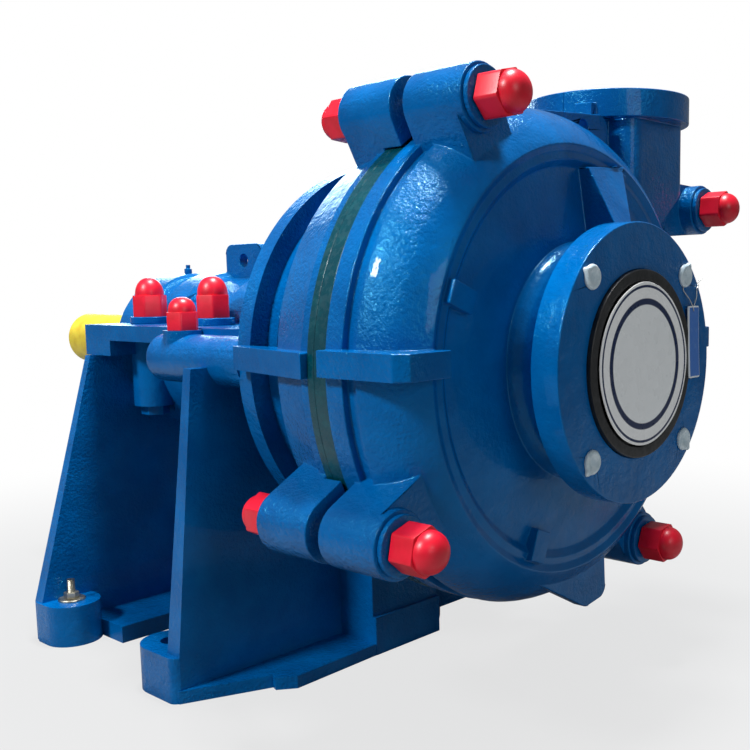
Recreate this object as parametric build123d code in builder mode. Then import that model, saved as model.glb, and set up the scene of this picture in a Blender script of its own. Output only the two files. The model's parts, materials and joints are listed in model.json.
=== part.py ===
from build123d import *
import os
from math import cos, hypot, radians, sin

# Rubber-lined centrifugal slurry pump on its cast stand.
# +X runs along the shaft towards the suction flange, +Z is up and the discharge stands on the
# +Y side. The origin is on the underside of the feet, in the middle of the four foot holes.
# Everything is in millimetres.


def polar(radius, angle):
    """Point at a radius and an angle in degrees."""
    return radius * cos(radians(angle)), radius * sin(radians(angle))


def ring_of(count, radius, start=0.0):
    """Points spread evenly on a circle, the first at the start angle in degrees."""
    return [polar(radius, start + 360 / count * index) for index in range(count)]


# Fits
fit = 0.05
loose = 0.3
hole_clearance = 1.0
overlap = 2.0

# Main sizes
shaft_height = 408.0
joint_plane = 436.4
cover_rim_radius = 287.8
suction_face = joint_plane + 203.9
shaft_overhang = 271.7

# Casing along the shaft
frame_rim_face = joint_plane - 10.4
frame_rim_start = frame_rim_face - 14.0
frame_back = frame_rim_face - 73.0
ring_front = frame_back - 81.0
ring_thickness = 23.0
ring_back = ring_front - ring_thickness
cover_rim_start = joint_plane + 18.3
cover_rim_end = cover_rim_start + 24.5
groove_end = cover_rim_end + 17.8
bowl_arc_x = groove_end + 35.0
shoulder_x = suction_face - 82.3
neck_foot_x = shoulder_x + 4.0
suction_flange_thickness = 33.3
flange_back = suction_face - suction_flange_thickness

# Casing across the shaft
frame_rim_radius = cover_rim_radius - 3.8
frame_step_radius = frame_rim_radius - 4.0
frame_back_radius = frame_rim_radius - 17.0
casing_wall = 12.0
lip_radius = cover_rim_radius - 1.1
groove_depth = 8.0
bowl_arc_radius = cover_rim_radius - 16.8
shoulder_radius = cover_rim_radius - 46.8
shoulder_step = 8.0
inner_ridge_radius = cover_rim_radius - 62.8
suction_neck_radius = 112.0
suction_neck_fillet = 22.0
suction_flange_radius = 152.5
suction_hole_circle = 133.3
suction_hole_radius = 11.0
suction_bore = 76.0
joint_ring_outer = 102.0
joint_ring_inner = 89.5
joint_ring_proud = 5.0
joint_ring_depth = 12.3
throat_lip = 6.0
closing_disc_radius = 89.0
closing_disc_proud = 11.0
closing_disc_edge = 1.5

# Stand
foot_spacing_x = 257.0
foot_spacing_y = 546.0
foot_hole_radius = 14.5
foot_boss_radius = 39.0
foot_corner = 12.0
foot_height = 57.0
drive_wall_face = -165.0
drive_wall_bottom = 21.0
drive_wall_top = 13.0
drive_wall_low_half = 309.0
drive_wall_high_half = 210.0
wet_wall_face = ring_back - 58.0
wet_wall_bottom = 26.0
wet_wall_top = 15.0
wet_wall_low_half = 303.0
wet_wall_high_half = 268.0
wall_top = shaft_height - 6.0
sole_height = 16.0
drive_sole_edge = -53.0
drive_sole_half = 240.0
drive_sole_height = 24.0
sole_corners = ((-21, -300), (0, -306), (47, -202), (56, -205), (73, -184), (66, 80), (24, 131),
                (-19, 178))
pedestal_near = -45.0
pedestal_far = 80.0
pedestal_front = ring_back + 6.0
pedestal_ledge = 6.0
pedestal_ledge_height = 52.0
ring_radius = 242.0
spigot_radius = 165.0
spigot_length = 14.0
collar_wall = 15.0
top_plate_low = shaft_height + 16.0
top_plate_high = shaft_height + 38.0
top_plate_inner = 124.0
top_plate_outer = 200.0
top_plate_start = drive_wall_face - 15.0
corner_block_length = 68.0
trough_inner = 126.0
trough_outer = 140.0
rail_y = 215.0
rail_z = shaft_height
rail_radius = 31.0
rail_start = 52.0
rail_end_radius = 9.0
rail_bolt_x = 98.0
rail_boss_height = 5.0
rail_boss_radius = 25.0

# Bearing clamps
clamp_x = (-116.0, 43.0)
clamp_y = 130.0
clamp_boss_radius = 30.0
clamp_boss_low = shaft_height - 83.0
clamp_head_height = 14.0
clamp_washer_radius = 29.0
clamp_washer_thickness = 10.0
saddle_half = 22.0

# Discharge branch, heights from the shaft line
discharge_x = joint_plane - 6.4
discharge_y = cover_rim_radius - 32.8
discharge_rise = cover_rim_radius + 44.2
discharge_flange_thickness = 35.0
flange_low = discharge_rise - discharge_flange_thickness
discharge_flange_radius = 111.0
discharge_hole_circle = 90.0
discharge_hole_radius = 9.5
discharge_bore = 51.0
discharge_joint_proud = 5.0
liner_wall = 14.0
neck_half_x = 85.0
neck_half_y = 71.0
neck_corner = 24.0
neck_near = discharge_y - neck_half_y
neck_far = discharge_y + neck_half_y
neck_root = 100.0
neck_cut_low = (discharge_y - 25.0, discharge_rise - 191.0)
neck_cut_high = discharge_rise - 115.0
seam_rib_half = 110.0
seam_rib_thickness = 20.0
seam_rib_foot = discharge_rise - 132.0

# Casing bolts, (y, z) from the shaft line, and the ends of their bosses along the shaft
near_top_bolt = polar(cover_rim_radius + 25.5, 119.0)
near_low_bolt = polar(cover_rim_radius + 35.8, 209.0)
far_low_bolt = polar(cover_rim_radius + 22.2, 306.4)
branch_bolt = (discharge_y + 148.0, discharge_rise - 142.0)
cover_lug_front = shoulder_x - 8.0
far_lug_front = shoulder_x - 23.5
branch_lug_front = cover_rim_end + 19.3
branch_lug_back = joint_plane - 44.4
branch_lug_split = 6.0
lug_radius = 35.0
lug_arm_gap = 8.0
lug_root_radius = cover_rim_radius - 40.0
frame_lug_back = joint_plane - 62.4
frame_lug_front = joint_plane + 15.6
cover_lug_back = joint_plane + 34.6

# Bolts, nuts and moulded caps
large_bolt = 12.0
large_nut = 36.0
large_nut_height = 21.5
casing_washer_radius = 31.0
casing_washer_thickness = 6.0
bolt_stub = 4.0
cap_gap = 2.0
cap_fit = 0.3
cap_dome_share = 0.8
cap_nose_share = 0.85
cap_shoulder = 3.0
casing_cap_across = 44.4
casing_cap_hex = 29.0
casing_cap_height = 47.5
clamp_cap_across = 42.6
clamp_cap_hex = 31.0
clamp_cap_height = 57.0
rail_bolt = 10.0
rail_nut = 30.0
rail_nut_height = 16.0
rail_cap_across = 36.4
rail_cap_hex = 23.0
rail_cap_height = 42.0

# Volute and impeller
chamber_back = joint_plane - 51.4
chamber_front = joint_plane + 38.6
chamber_small = cover_rim_radius - 87.8
chamber_large = cover_rim_radius - 47.8
cutwater_angle = 58.0
throat_angle = 36.0
throat_high = discharge_rise - 104.0
spiral_steps = 12
pocket_radius = cover_rim_radius - 97.8
insert_face = frame_back + 18.0
throat_face = chamber_front + 14.0
throat_thickness = 16.0
impeller_radius = pocket_radius - 8.0
impeller_back = insert_face + 4.0
impeller_front = throat_face - 3.0
shroud_thickness = 12.0
vane_count = 5
vane_thickness = 14.0
vane_camber = ((impeller_radius - 120, 0), (impeller_radius - 58, 38), (impeller_radius + 8, 92))
impeller_eye = 74.0
impeller_hub = 60.0
hub_nose_radius = 18.0
hub_nose_length = 72.0
expelling_vane_count = 8
expelling_vane_width = 9.0

# Seal
frame_neck_outer = 178.0
frame_neck_inner = 150.5
frame_flange_thickness = 18.0
frame_flange_radius = 218.0
stud_circle = 200.0
stud_radius = 8.0
stud_nut = 24.0
stud_nut_height = 13.0
stud_count = 8
expeller_ring_back = ring_front + 13.0
ring_wall = 14.0
expeller_chamber = 128.0
expeller_radius = 120.0
insert_seat = 4.0
stuffing_box_radius = 60.0
stuffing_box_wall = 14.0
stuffing_box_depth = 47.0
packing_count = 4
packing_depth = 10.0
packing_gap = 0.4
gland_flange_radius = 96.0
gland_flange_thickness = 14.0
gland_nose = 12.0
gland_bolt_circle = 84.0
gland_bolt_radius = 7.0
gland_nut = 19.0
gland_nut_height = 9.0

# Shaft line
shaft_coupling_radius = 40.0
shaft_bearing_radius = 50.0
shaft_bearing_step = 6.0
shaft_sleeve_radius = 42.0
shaft_wet_radius = 34.0
shaft_tip_length = 26.0
shaft_end_edge = 2.0
sleeve_gap = 8.0
keyway_width = 22.0
keyway_depth = 9.0
keyway_length = 110.0
keyway_start = 15.0
end_sleeve_radius = 44.0
end_sleeve_gap = 10.0

# Bearing cartridge
housing_start = -246.0
slide_room = 5.0
housing_end = 118.0
housing_radius = 112.0
housing_waist = 102.0
housing_bore = 92.0
drive_land_length = 60.0
wet_land_length = 96.0
waist_slope = 14.0
saddle_edge = 4.0
bearing_inset = 46.0
bearing_width = 44.0
bearing_outer_wall = 12.7
bearing_inner_wall = 12.7
bearing_stop = 4.0
roller_radius = 8.0
roller_circle = 71.0
roller_count = 14
roller_length = 30.0
cage_thickness = 4.0
cage_half = 5.0
end_cover_thickness = 12.0
end_cover_radius = 106.0
end_cover_spigot = 14.0
end_bolt_circle = 98.0
end_bolt_radius = 5.0
end_bolt_count = 6
end_bolt_head = 16.0
end_bolt_head_height = 6.0
labyrinth_gap = 0.4
labyrinth_thickness = 8.0
labyrinth_reach = 26.0
lifting_eye_start = -94.0
lifting_eye_end = -5.0
lifting_eye_top = shaft_height + 154.0
lifting_eye_thickness = 16.0
lifting_eye_corner = 14.0
lifting_eye_drop = 25.0
lifting_eye_radius = 10.0
nipple_radius = 6.0
nipple_height = 8.0
nipple_tip_radius = 3.5
nipple_tip_height = 6.0
adjust_drop = 166.0
adjust_radius = 9.0
adjust_lug_x = -60.0
adjust_lug_thickness = 16.0
adjust_lug_half = 18.0
adjust_boss_half = 26.0
adjust_slot = 12.0
adjust_nut = 30.0
adjust_nut_height = 14.0
adjust_screw_reach = 40.0

# Side bars, lifting plate, suction gusset, pads and fin of the casing
bar_low = shaft_height - 4.0
bar_high = shaft_height + 23.0
bar_lift = 4.0
bar_reach = 11.0
bar_start = ring_front - 10.0
bar_end_thickness = 16.0
cover_bar_end = shoulder_x + 15.0
cover_bar_corner = 12.0
lifting_plate_front = cover_rim_end + 11.0
lifting_plate_thickness = 16.0
lifting_plate_corner = 11.0
lifting_plate_foot = 84.0
lifting_hole_y = 112.0
lifting_hole_z = cover_rim_radius - 9.0
lifting_hole_radius = 9.5
lifting_plate_edge = (
    (0.0, lifting_hole_z + lifting_hole_radius),
    (lifting_hole_y + 40.0, lifting_hole_z + 2 * lifting_hole_radius),
    (lifting_hole_y + 56.0, lifting_hole_z + 8.0),
    (lifting_hole_y + 42.0, lifting_hole_z - 42.0),
)
gusset_near = 14.0
gusset_far = 88.0
gusset_foot_far = 26.0
gusset_top = shoulder_radius - 24.0
gusset_top_x = shoulder_x + 6.0
gusset_rise = 5.0
gusset_land = 8.0
pad_circle = shoulder_radius - 27.0
pad_length = 36.0
pad_width = 25.0
pad_front = shoulder_x + 5.0
pad_start = 69.0
fin_front = shoulder_x - 12.0
fin_thickness = 16.0
fin_drop = cover_rim_radius + 14.0
fin_corner = 14.0
fin_edge = (
    polar(shoulder_radius + 10.0, 249),
    (35.0, -fin_drop),
    (78.0, -fin_drop + 6.0),
    polar(shoulder_radius, 288),
)
fin_root = polar(shoulder_radius - 40.0, 270)

# Points and lines that several pieces share
shaft_line = Axis((0, 0, shaft_height), (1, 0, 0))
shaft_side = Plane(origin=(0, 0, shaft_height), x_dir=(1, 0, 0), z_dir=(0, -1, 0))
drive_bearing_x = housing_start + bearing_inset - 10
wet_bearing_x = housing_end - bearing_inset
drive_seal_end = housing_start - end_cover_thickness - labyrinth_thickness
wet_seal_end = housing_end + end_cover_thickness + labyrinth_thickness
shaft_end = drive_seal_end - shaft_overhang
expeller_start = expeller_ring_back + ring_wall + 6
expeller_end = frame_back - 10
shaft_tip = impeller_back + shaft_tip_length
shaft_shoulder = shaft_bearing_radius + shaft_bearing_step
seal_bore = shaft_sleeve_radius + 8
rail_seat = rail_z + rail_radius + rail_boss_height
clamp_seat = top_plate_high + clamp_washer_thickness
clamp_head_low = clamp_boss_low - clamp_head_height
foot_spots = [
    (sx * foot_spacing_x / 2, sy * foot_spacing_y / 2) for sx in (-1, 1) for sy in (-1, 1)
]
rim_lugs = (near_top_bolt, near_low_bolt, far_low_bolt)
lug_fronts = (cover_lug_front, cover_lug_front, far_lug_front)
casing_bolt_spots = (*rim_lugs, branch_bolt)
clamp_spots = [(x, side * clamp_y) for x in clamp_x for side in (-1, 1)]
rail_spots = [(rail_bolt_x, side * rail_y) for side in (-1, 1)]
suction_spots = ring_of(4, suction_hole_circle, 45)
stud_spots = ring_of(stud_count, stud_circle, 180 / stud_count)
end_bolt_spots = ring_of(end_bolt_count, end_bolt_circle)
discharge_spots = [(discharge_x + x, discharge_y + y) for x, y in
                   ring_of(4, discharge_hole_circle, 45)]


def across(x):
    """Plane across the shaft at x, whose local axes are Y and height above the shaft line."""
    return Plane(origin=(x, 0, shaft_height), x_dir=(0, 1, 0), z_dir=(1, 0, 0))


def end_plane(x, way):
    """Plane across the shaft facing the given way."""
    return Plane(origin=(x, 0, shaft_height), x_dir=(0, 1, 0), z_dir=(way, 0, 0))


def facing(spots, way):
    """Spots written in the axes of an end plane."""
    return [(y, z * way) for y, z in spots]


def turned(*outline, mode=Mode.ADD):
    """Revolve a closed outline of (x, radius) corners about the shaft line."""
    with BuildSketch(shaft_side) as profile:
        with BuildLine():
            Polyline(*outline, close=True)
        make_face()
    revolve(profile.sketch, axis=shaft_line, mode=mode)


def rods(start, end, radius, spots=((0, 0),), bore=0.0, mode=Mode.ADD):
    """Round bars or tubes along the shaft direction, centred on (y, z) spots."""
    low, high = sorted((start, end))
    with BuildSketch(across(low)) as face:
        with Locations(*spots):
            Circle(radius)
            if bore:
                Circle(bore, mode=Mode.SUBTRACT)
    extrude(face.sketch, amount=high - low, mode=mode)


def posts(bottom, top, radius, spots, bore=0.0, mode=Mode.ADD):
    """Upright round bars or tubes centred on (x, y) spots."""
    with BuildSketch(Plane.XY.offset(bottom)) as face:
        with Locations(*spots):
            Circle(radius)
            if bore:
                Circle(bore, mode=Mode.SUBTRACT)
    extrude(face.sketch, amount=top - bottom, mode=mode)


def block(x, y, z, mode=Mode.ADD):
    """Box between the two ends given for each direction."""
    with BuildSketch(Plane.XY.offset(z[0])) as face:
        with Locations(((x[0] + x[1]) / 2, (y[0] + y[1]) / 2)):
            Rectangle(x[1] - x[0], y[1] - y[0])
    extrude(face.sketch, amount=z[1] - z[0], mode=mode)


def slab_across(start, end, *outline, mode=Mode.ADD):
    """Extrude a closed (y, height) outline along the shaft."""
    with BuildSketch(across(start)) as face:
        with BuildLine():
            Polyline(*outline, close=True)
        make_face()
    extrude(face.sketch, amount=end - start, mode=mode)


def slab_flat(bottom, top, *outline, mode=Mode.ADD):
    """Extrude a closed (x, y) outline upwards."""
    with BuildSketch(Plane.XY.offset(bottom)) as face:
        with BuildLine():
            Polyline(*outline, close=True)
        make_face()
    extrude(face.sketch, amount=top - bottom, mode=mode)


def hexagons(plane, spots, height, flats, bore=0.0, mode=Mode.ADD):
    """Hexagon nuts or bolt heads standing on a plane."""
    with BuildSketch(plane) as face:
        with Locations(*spots):
            RegularPolygon(flats / 2, 6, major_radius=False)
            if bore:
                Circle(bore, mode=Mode.SUBTRACT)
    extrude(face.sketch, amount=height, mode=mode)


def caps(plane, spots, flats, hexagon, height, nut_flats, nut_reach):
    """Moulded caps with a six-sided skirt, a narrower domed end and a socket for the nut."""
    hexagons(plane, spots, hexagon, flats)
    skirt_radius = flats / 2 - cap_fit
    dome_radius = flats / 2 * cap_dome_share
    rise = dome_radius * cap_nose_share
    nose_radius = (dome_radius**2 + rise**2) / (2 * rise)
    with BuildSketch(Plane(plane.origin, x_dir=plane.x_dir, z_dir=-plane.y_dir)) as dome:
        with BuildLine():
            side = Polyline((0, height), (0, hexagon - overlap),
                            (skirt_radius, hexagon - overlap), (skirt_radius, hexagon),
                            (dome_radius, hexagon + cap_shoulder), (dome_radius, height - rise))
            RadiusArc(side @ 1, side @ 0, -nose_radius)
        make_face()
    with BuildPart(mode=Mode.PRIVATE) as end:
        revolve(dome.sketch, axis=Axis(plane.origin, plane.z_dir))
    for spot in spots:
        add(end.part.moved(Location(plane.x_dir * spot[0] + plane.y_dir * spot[1])))
    hexagons(plane, spots, nut_reach, nut_flats + 2 * cap_fit, mode=Mode.SUBTRACT)


def finish(piece, name):
    """Label a finished piece and write it out."""
    piece.part.label = name
    export_step(piece.part, "parts/" + name + ".step")


os.makedirs("parts", exist_ok=True)


# The stand
def foot(x, y, wall_face):
    """A round foot boss joined to its wall by a block with rounded corners."""
    with BuildSketch(Plane.XY) as outline:
        with Locations(((x + wall_face) / 2, y)):
            Rectangle(abs(x - wall_face), 2 * foot_boss_radius)
        fillet(outline.vertices().filter_by(lambda corner: abs(corner.X - wall_face) < 1),
               foot_corner)
        with Locations((x, y)):
            Circle(foot_boss_radius)
    extrude(outline.sketch, amount=foot_height)


def wall(face, inward, bottom, top, low_half, high_half):
    """A cross wall that thins and narrows from the height of the feet to its top."""
    middle = face + inward * bottom / 2
    block((middle - bottom / 2, middle + bottom / 2), (-low_half, low_half), (0, foot_height))
    with BuildSketch(Plane.XY.offset(foot_height)) as low:
        with Locations((middle, 0)):
            Rectangle(bottom, 2 * low_half)
    with BuildSketch(Plane.XY.offset(wall_top)) as high:
        with Locations((face + inward * top / 2, 0)):
            Rectangle(top, 2 * high_half)
    loft([low.sketch.face(), high.sketch.face()], ruled=True)


wall_inner = wet_wall_face - wet_wall_bottom
plate_end = ring_back + overlap
corner_block_end = top_plate_start + corner_block_length
with BuildPart() as base:
    wall(drive_wall_face, 1, drive_wall_bottom, drive_wall_top, drive_wall_low_half,
         drive_wall_high_half)
    wall(wet_wall_face, -1, wet_wall_bottom, wet_wall_top, wet_wall_low_half,
         wet_wall_high_half)
    for spot_x, spot_y in foot_spots:
        foot(spot_x, spot_y, drive_wall_face if spot_x < 0 else wet_wall_face)
    block((drive_wall_face, drive_sole_edge), (-drive_sole_half, drive_sole_half),
          (0, drive_sole_height))
    slab_flat(0, sole_height, *[(wet_wall_face + x, y) for x, y in sole_corners])
    block((wet_wall_face - overlap, pedestal_front), (pedestal_near, pedestal_far),
          (0, shaft_height - ring_radius + collar_wall))
    block((pedestal_front - overlap, pedestal_front + pedestal_ledge),
          (pedestal_near, pedestal_far), (0, pedestal_ledge_height))
    for side in (-1, 1):
        inner, outer = sorted((side * top_plate_inner, side * top_plate_outer))
        block((top_plate_start, plate_end), (inner, outer), (top_plate_low, top_plate_high))
        block((top_plate_start, corner_block_end), (inner, outer), (wall_top, top_plate_high))
        block((rail_start + rail_radius, plate_end),
              sorted((side * top_plate_inner, side * rail_y)), (rail_z - rail_radius, rail_z))
    rods(rail_start, plate_end, rail_radius,
         [(side * rail_y, rail_z - shaft_height) for side in (-1, 1)])
    rail_ends = base.edges().filter_by(GeomType.CIRCLE).filter_by_position(
        Axis.X, rail_start - 1, rail_start + 1)
    fillet(rail_ends, rail_end_radius)
    posts(rail_z, rail_seat, rail_boss_radius, rail_spots)
    posts(clamp_boss_low, top_plate_low + overlap, clamp_boss_radius, clamp_spots)
    rods(drive_wall_face, wet_wall_face, trough_outer)
    rods(wet_wall_face - overlap, plate_end, spigot_radius + collar_wall)
    block((top_plate_start - 1, plate_end), (-ring_radius, ring_radius),
          (top_plate_high, shaft_height + ring_radius), mode=Mode.SUBTRACT)
    rods(ring_back, ring_front, ring_radius)
    block((drive_wall_face, drive_wall_face + drive_wall_bottom),
          (-adjust_boss_half, adjust_boss_half),
          (shaft_height - adjust_drop - adjust_boss_half, shaft_height - trough_inner - 1))
    rods(drive_wall_face - 1, wall_inner, trough_inner, mode=Mode.SUBTRACT)
    rods(wall_inner, ring_front, spigot_radius + fit, mode=Mode.SUBTRACT)
    for x in clamp_x:
        turned((x - saddle_half, housing_radius + loose), (x + saddle_half, housing_radius + loose),
               (x + saddle_half, trough_inner + overlap),
               (x - saddle_half, trough_inner + overlap))
    block((top_plate_start - 1, wet_wall_face), (-top_plate_inner, top_plate_inner),
          (shaft_height + saddle_edge, shaft_height + ring_radius), mode=Mode.SUBTRACT)
    posts(clamp_boss_low - 1, top_plate_high + 1, large_bolt + hole_clearance, clamp_spots,
          mode=Mode.SUBTRACT)
    posts(clamp_boss_low - clamp_head_height - large_nut_height, clamp_boss_low,
          clamp_boss_radius - overlap, clamp_spots, mode=Mode.SUBTRACT)
    posts(rail_z - rail_radius - 1, rail_seat + 1, rail_bolt, rail_spots, mode=Mode.SUBTRACT)
    posts(rail_seat, rail_seat + rail_boss_height, rail_cap_across / 2 + rail_boss_height,
          rail_spots, mode=Mode.SUBTRACT)
    posts(-1, foot_height + 1, foot_hole_radius, foot_spots, mode=Mode.SUBTRACT)
    rods(drive_wall_face - 1, drive_wall_face + drive_wall_bottom + 1,
         adjust_radius + hole_clearance, [(0, -adjust_drop)], mode=Mode.SUBTRACT)
    block((adjust_lug_x - adjust_lug_thickness - adjust_slot, adjust_lug_x + adjust_slot),
          (-adjust_boss_half, adjust_boss_half),
          (shaft_height - trough_outer - 1, shaft_height - housing_bore), mode=Mode.SUBTRACT)
    rods(ring_back - 1, ring_front + 1, stud_radius, stud_spots, mode=Mode.SUBTRACT)
finish(base, "base")


# Fasteners of the bearing clamps and of the side rails
with BuildPart() as clamp_bolts:
    posts(clamp_boss_low, clamp_seat + large_nut_height + bolt_stub, large_bolt, clamp_spots)
    hexagons(Plane.XY.offset(clamp_head_low), clamp_spots, clamp_head_height, large_nut)
finish(clamp_bolts, "clamp_bolts")

with BuildPart() as clamp_washers:
    posts(top_plate_high, clamp_seat, clamp_washer_radius, clamp_spots, bore=large_bolt)
finish(clamp_washers, "clamp_washers")

with BuildPart() as clamp_nuts:
    hexagons(Plane.XY.offset(clamp_seat), clamp_spots, large_nut_height, large_nut, large_bolt)
finish(clamp_nuts, "clamp_nuts")

with BuildPart() as clamp_bolt_caps:
    caps(Plane.XY.offset(clamp_seat), clamp_spots, clamp_cap_across, clamp_cap_hex,
         clamp_cap_height, large_nut, large_nut_height + bolt_stub + 1)
finish(clamp_bolt_caps, "clamp_bolt_caps")

with BuildPart() as rail_bolts:
    posts(rail_z - rail_radius + overlap, rail_seat + rail_nut_height + bolt_stub, rail_bolt,
          rail_spots)
finish(rail_bolts, "rail_bolts")

with BuildPart() as rail_nuts:
    hexagons(Plane.XY.offset(rail_seat), rail_spots, rail_nut_height, rail_nut, rail_bolt)
finish(rail_nuts, "rail_nuts")

with BuildPart() as rail_bolt_caps:
    caps(Plane.XY.offset(rail_seat), rail_spots, rail_cap_across, rail_cap_hex,
         rail_cap_height, rail_nut, rail_nut_height + bolt_stub + 1)
finish(rail_bolt_caps, "rail_bolt_caps")


# Casing halves
def lug_arm(start, end, y, z):
    """Arm as wide as its bolt boss, from the boss down to the rim of the casing."""
    reach = hypot(y, z)
    out_y, out_z = y / reach, z / reach
    side_y, side_z = -out_z * lug_radius, out_y * lug_radius
    root_y, root_z = out_y * lug_root_radius, out_z * lug_root_radius
    slab_across(start, end, (y + side_y, z + side_z), (root_y + side_y, root_z + side_z),
                (root_y - side_y, root_z - side_z), (y - side_y, z - side_z))


def neck_corners(top):
    """Outline of the discharge neck, which slopes back to the casing on its far side."""
    return ((neck_near, neck_root), (neck_cut_low[0] - neck_half_y, neck_root - neck_half_y),
            neck_cut_low, (neck_far, neck_cut_high), (neck_far, top), (neck_near, top))


def seam_rib(start, end):
    """Flat rib along the joint of the discharge neck."""
    far = discharge_y + seam_rib_half
    near = discharge_y - seam_rib_half
    top = (flange_low + discharge_rise) / 2
    slope = seam_rib_foot - neck_cut_low[1]
    slab_across(start, end, (near, neck_root), (neck_near, neck_root - neck_half_y),
                (far - slope - neck_half_y, neck_cut_low[1] - neck_half_y),
                (far - slope, neck_cut_low[1]), (far, seam_rib_foot), (far, top), (near, top))


def branch_lug_tab(start, end):
    """Plate that carries the bolt boss beside the discharge neck."""
    lug_y, lug_z = branch_bolt
    root = discharge_y + seam_rib_half - lug_radius
    low, high = lug_z - lug_radius, lug_z + lug_radius
    slab_across(start, end, (root, low - saddle_edge), (lug_y, low), (lug_y, high),
                (root, high + saddle_edge))


def branch_tube(low, high, radius, mode=Mode.ADD):
    """Upright round piece on the axis of the discharge branch, heights from the shaft line."""
    posts(shaft_height + low, shaft_height + high, radius, [(discharge_x, discharge_y)],
          mode=mode)


def volute(start, end, extra=0.0, mode=Mode.ADD):
    """Spiral water space, which widens round the shaft to the discharge branch."""
    spiral = []
    for step in range(spiral_steps + 1):
        share = step / spiral_steps
        angle = cutwater_angle + (360 + throat_angle - cutwater_angle) * share
        radius = chamber_small + (chamber_large - chamber_small) * share + extra
        spiral.append(polar(radius, angle))
    near = discharge_y - discharge_bore - extra
    far = discharge_y + discharge_bore + extra
    with BuildSketch(across(start)) as outline:
        with BuildLine():
            curve = Spline(*spiral)
            Polyline(curve @ 1, (far, throat_high), (near, throat_high), curve @ 0)
        make_face()
    extrude(outline.sketch, amount=end - start, mode=mode)


def casing_room(mode=Mode.SUBTRACT):
    """Space for the rubber in the rear half of the casing, which widens towards the joint."""
    turned((frame_back + casing_wall, 0), (frame_back + casing_wall,
           frame_back_radius - casing_wall), (frame_rim_face, frame_rim_radius - casing_wall),
           (joint_plane, frame_rim_radius - casing_wall), (joint_plane, 0), mode=mode)


def flange_half(rear):
    """Half of the discharge flange, up to the joint of the casing."""
    branch_tube(flange_low, discharge_rise, discharge_flange_radius)
    limit = joint_plane - loose / 2 if rear else joint_plane + loose / 2
    split(bisect_by=across(limit), keep=Keep.BOTTOM if rear else Keep.TOP)


def flange_cuts():
    """Bolt holes of the discharge flange and the room for the rubber inside the branch."""
    posts(shaft_height + flange_low - 1, shaft_height + discharge_rise + 1,
          discharge_hole_radius, discharge_spots, mode=Mode.SUBTRACT)
    branch_tube(throat_high - 1, discharge_rise + 1, discharge_bore + liner_wall,
                mode=Mode.SUBTRACT)


with BuildPart() as neck:
    slab_across(discharge_x - neck_half_x, discharge_x + neck_half_x,
                *neck_corners(flange_low + overlap))
    with BuildSketch(Plane.XY.offset(shaft_height)) as neck_plan:
        with Locations((discharge_x, discharge_y)):
            RectangleRounded(2 * neck_half_x, 2 * neck_half_y, neck_corner)
        with Locations((discharge_x, neck_near - discharge_bore)):
            Rectangle(2 * neck_half_x, 2 * discharge_bore)
    extrude(neck_plan.sketch, amount=discharge_rise, mode=Mode.INTERSECT)

with BuildPart() as rear_flange:
    flange_half(True)

with BuildPart() as frame_plate:
    turned((frame_back, frame_neck_inner), (frame_back, frame_back_radius),
           (frame_rim_start, frame_step_radius), (frame_rim_start, frame_rim_radius),
           (frame_rim_face, frame_rim_radius), (frame_rim_face, frame_neck_inner))
    add(neck.part)
    seam_rib(frame_rim_face - seam_rib_thickness, frame_rim_face)
    branch_lug_tab(frame_rim_face - seam_rib_thickness, frame_rim_face)
    split(bisect_by=across(frame_rim_face), keep=Keep.BOTTOM)
    for lug_y, lug_z in rim_lugs:
        lug_arm(frame_lug_back, frame_lug_front, lug_y, lug_z)
    rods(frame_lug_back, frame_lug_front, lug_radius, rim_lugs)
    for side in (-1, 1):
        slab_flat(bar_low, bar_high, (bar_start, side * (ring_radius + 1)),
                  (bar_start, side * (ring_radius + bar_end_thickness)),
                  (frame_rim_face, side * (frame_rim_radius + bar_reach)),
                  (frame_rim_face, side * (frame_rim_radius - bar_reach)),
                  (frame_back, side * (frame_back_radius - bar_reach)),
                  (frame_back, side * (ring_radius + 1)))
    rods(frame_rim_face, frame_lug_front + 1, cover_rim_radius + 1, mode=Mode.SUBTRACT)
    rods(branch_lug_back, joint_plane - branch_lug_split, lug_radius, [branch_bolt])
    add(rear_flange.part)
    turned((ring_front, frame_neck_inner), (ring_front, frame_flange_radius),
           (ring_front + frame_flange_thickness, frame_flange_radius),
           (ring_front + frame_flange_thickness, frame_neck_outer),
           (frame_back + overlap, frame_neck_outer), (frame_back + overlap, frame_neck_inner))
    rods(ring_front - spigot_length, ring_front, spigot_radius, bore=frame_neck_inner)
    casing_room()
    volute(frame_back + casing_wall, joint_plane, extra=liner_wall, mode=Mode.SUBTRACT)
    flange_cuts()
    rods(frame_lug_back - 1, frame_lug_front + 1, large_bolt, casing_bolt_spots,
         mode=Mode.SUBTRACT)
    rods(frame_back - 1, frame_lug_back, casing_washer_radius + 1, rim_lugs,
         mode=Mode.SUBTRACT)
    rods(ring_front - 1, ring_front + frame_flange_thickness + 1, stud_radius, stud_spots,
         mode=Mode.SUBTRACT)
finish(frame_plate, "frame_plate")

with BuildPart() as front_flange:
    flange_half(False)

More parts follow.
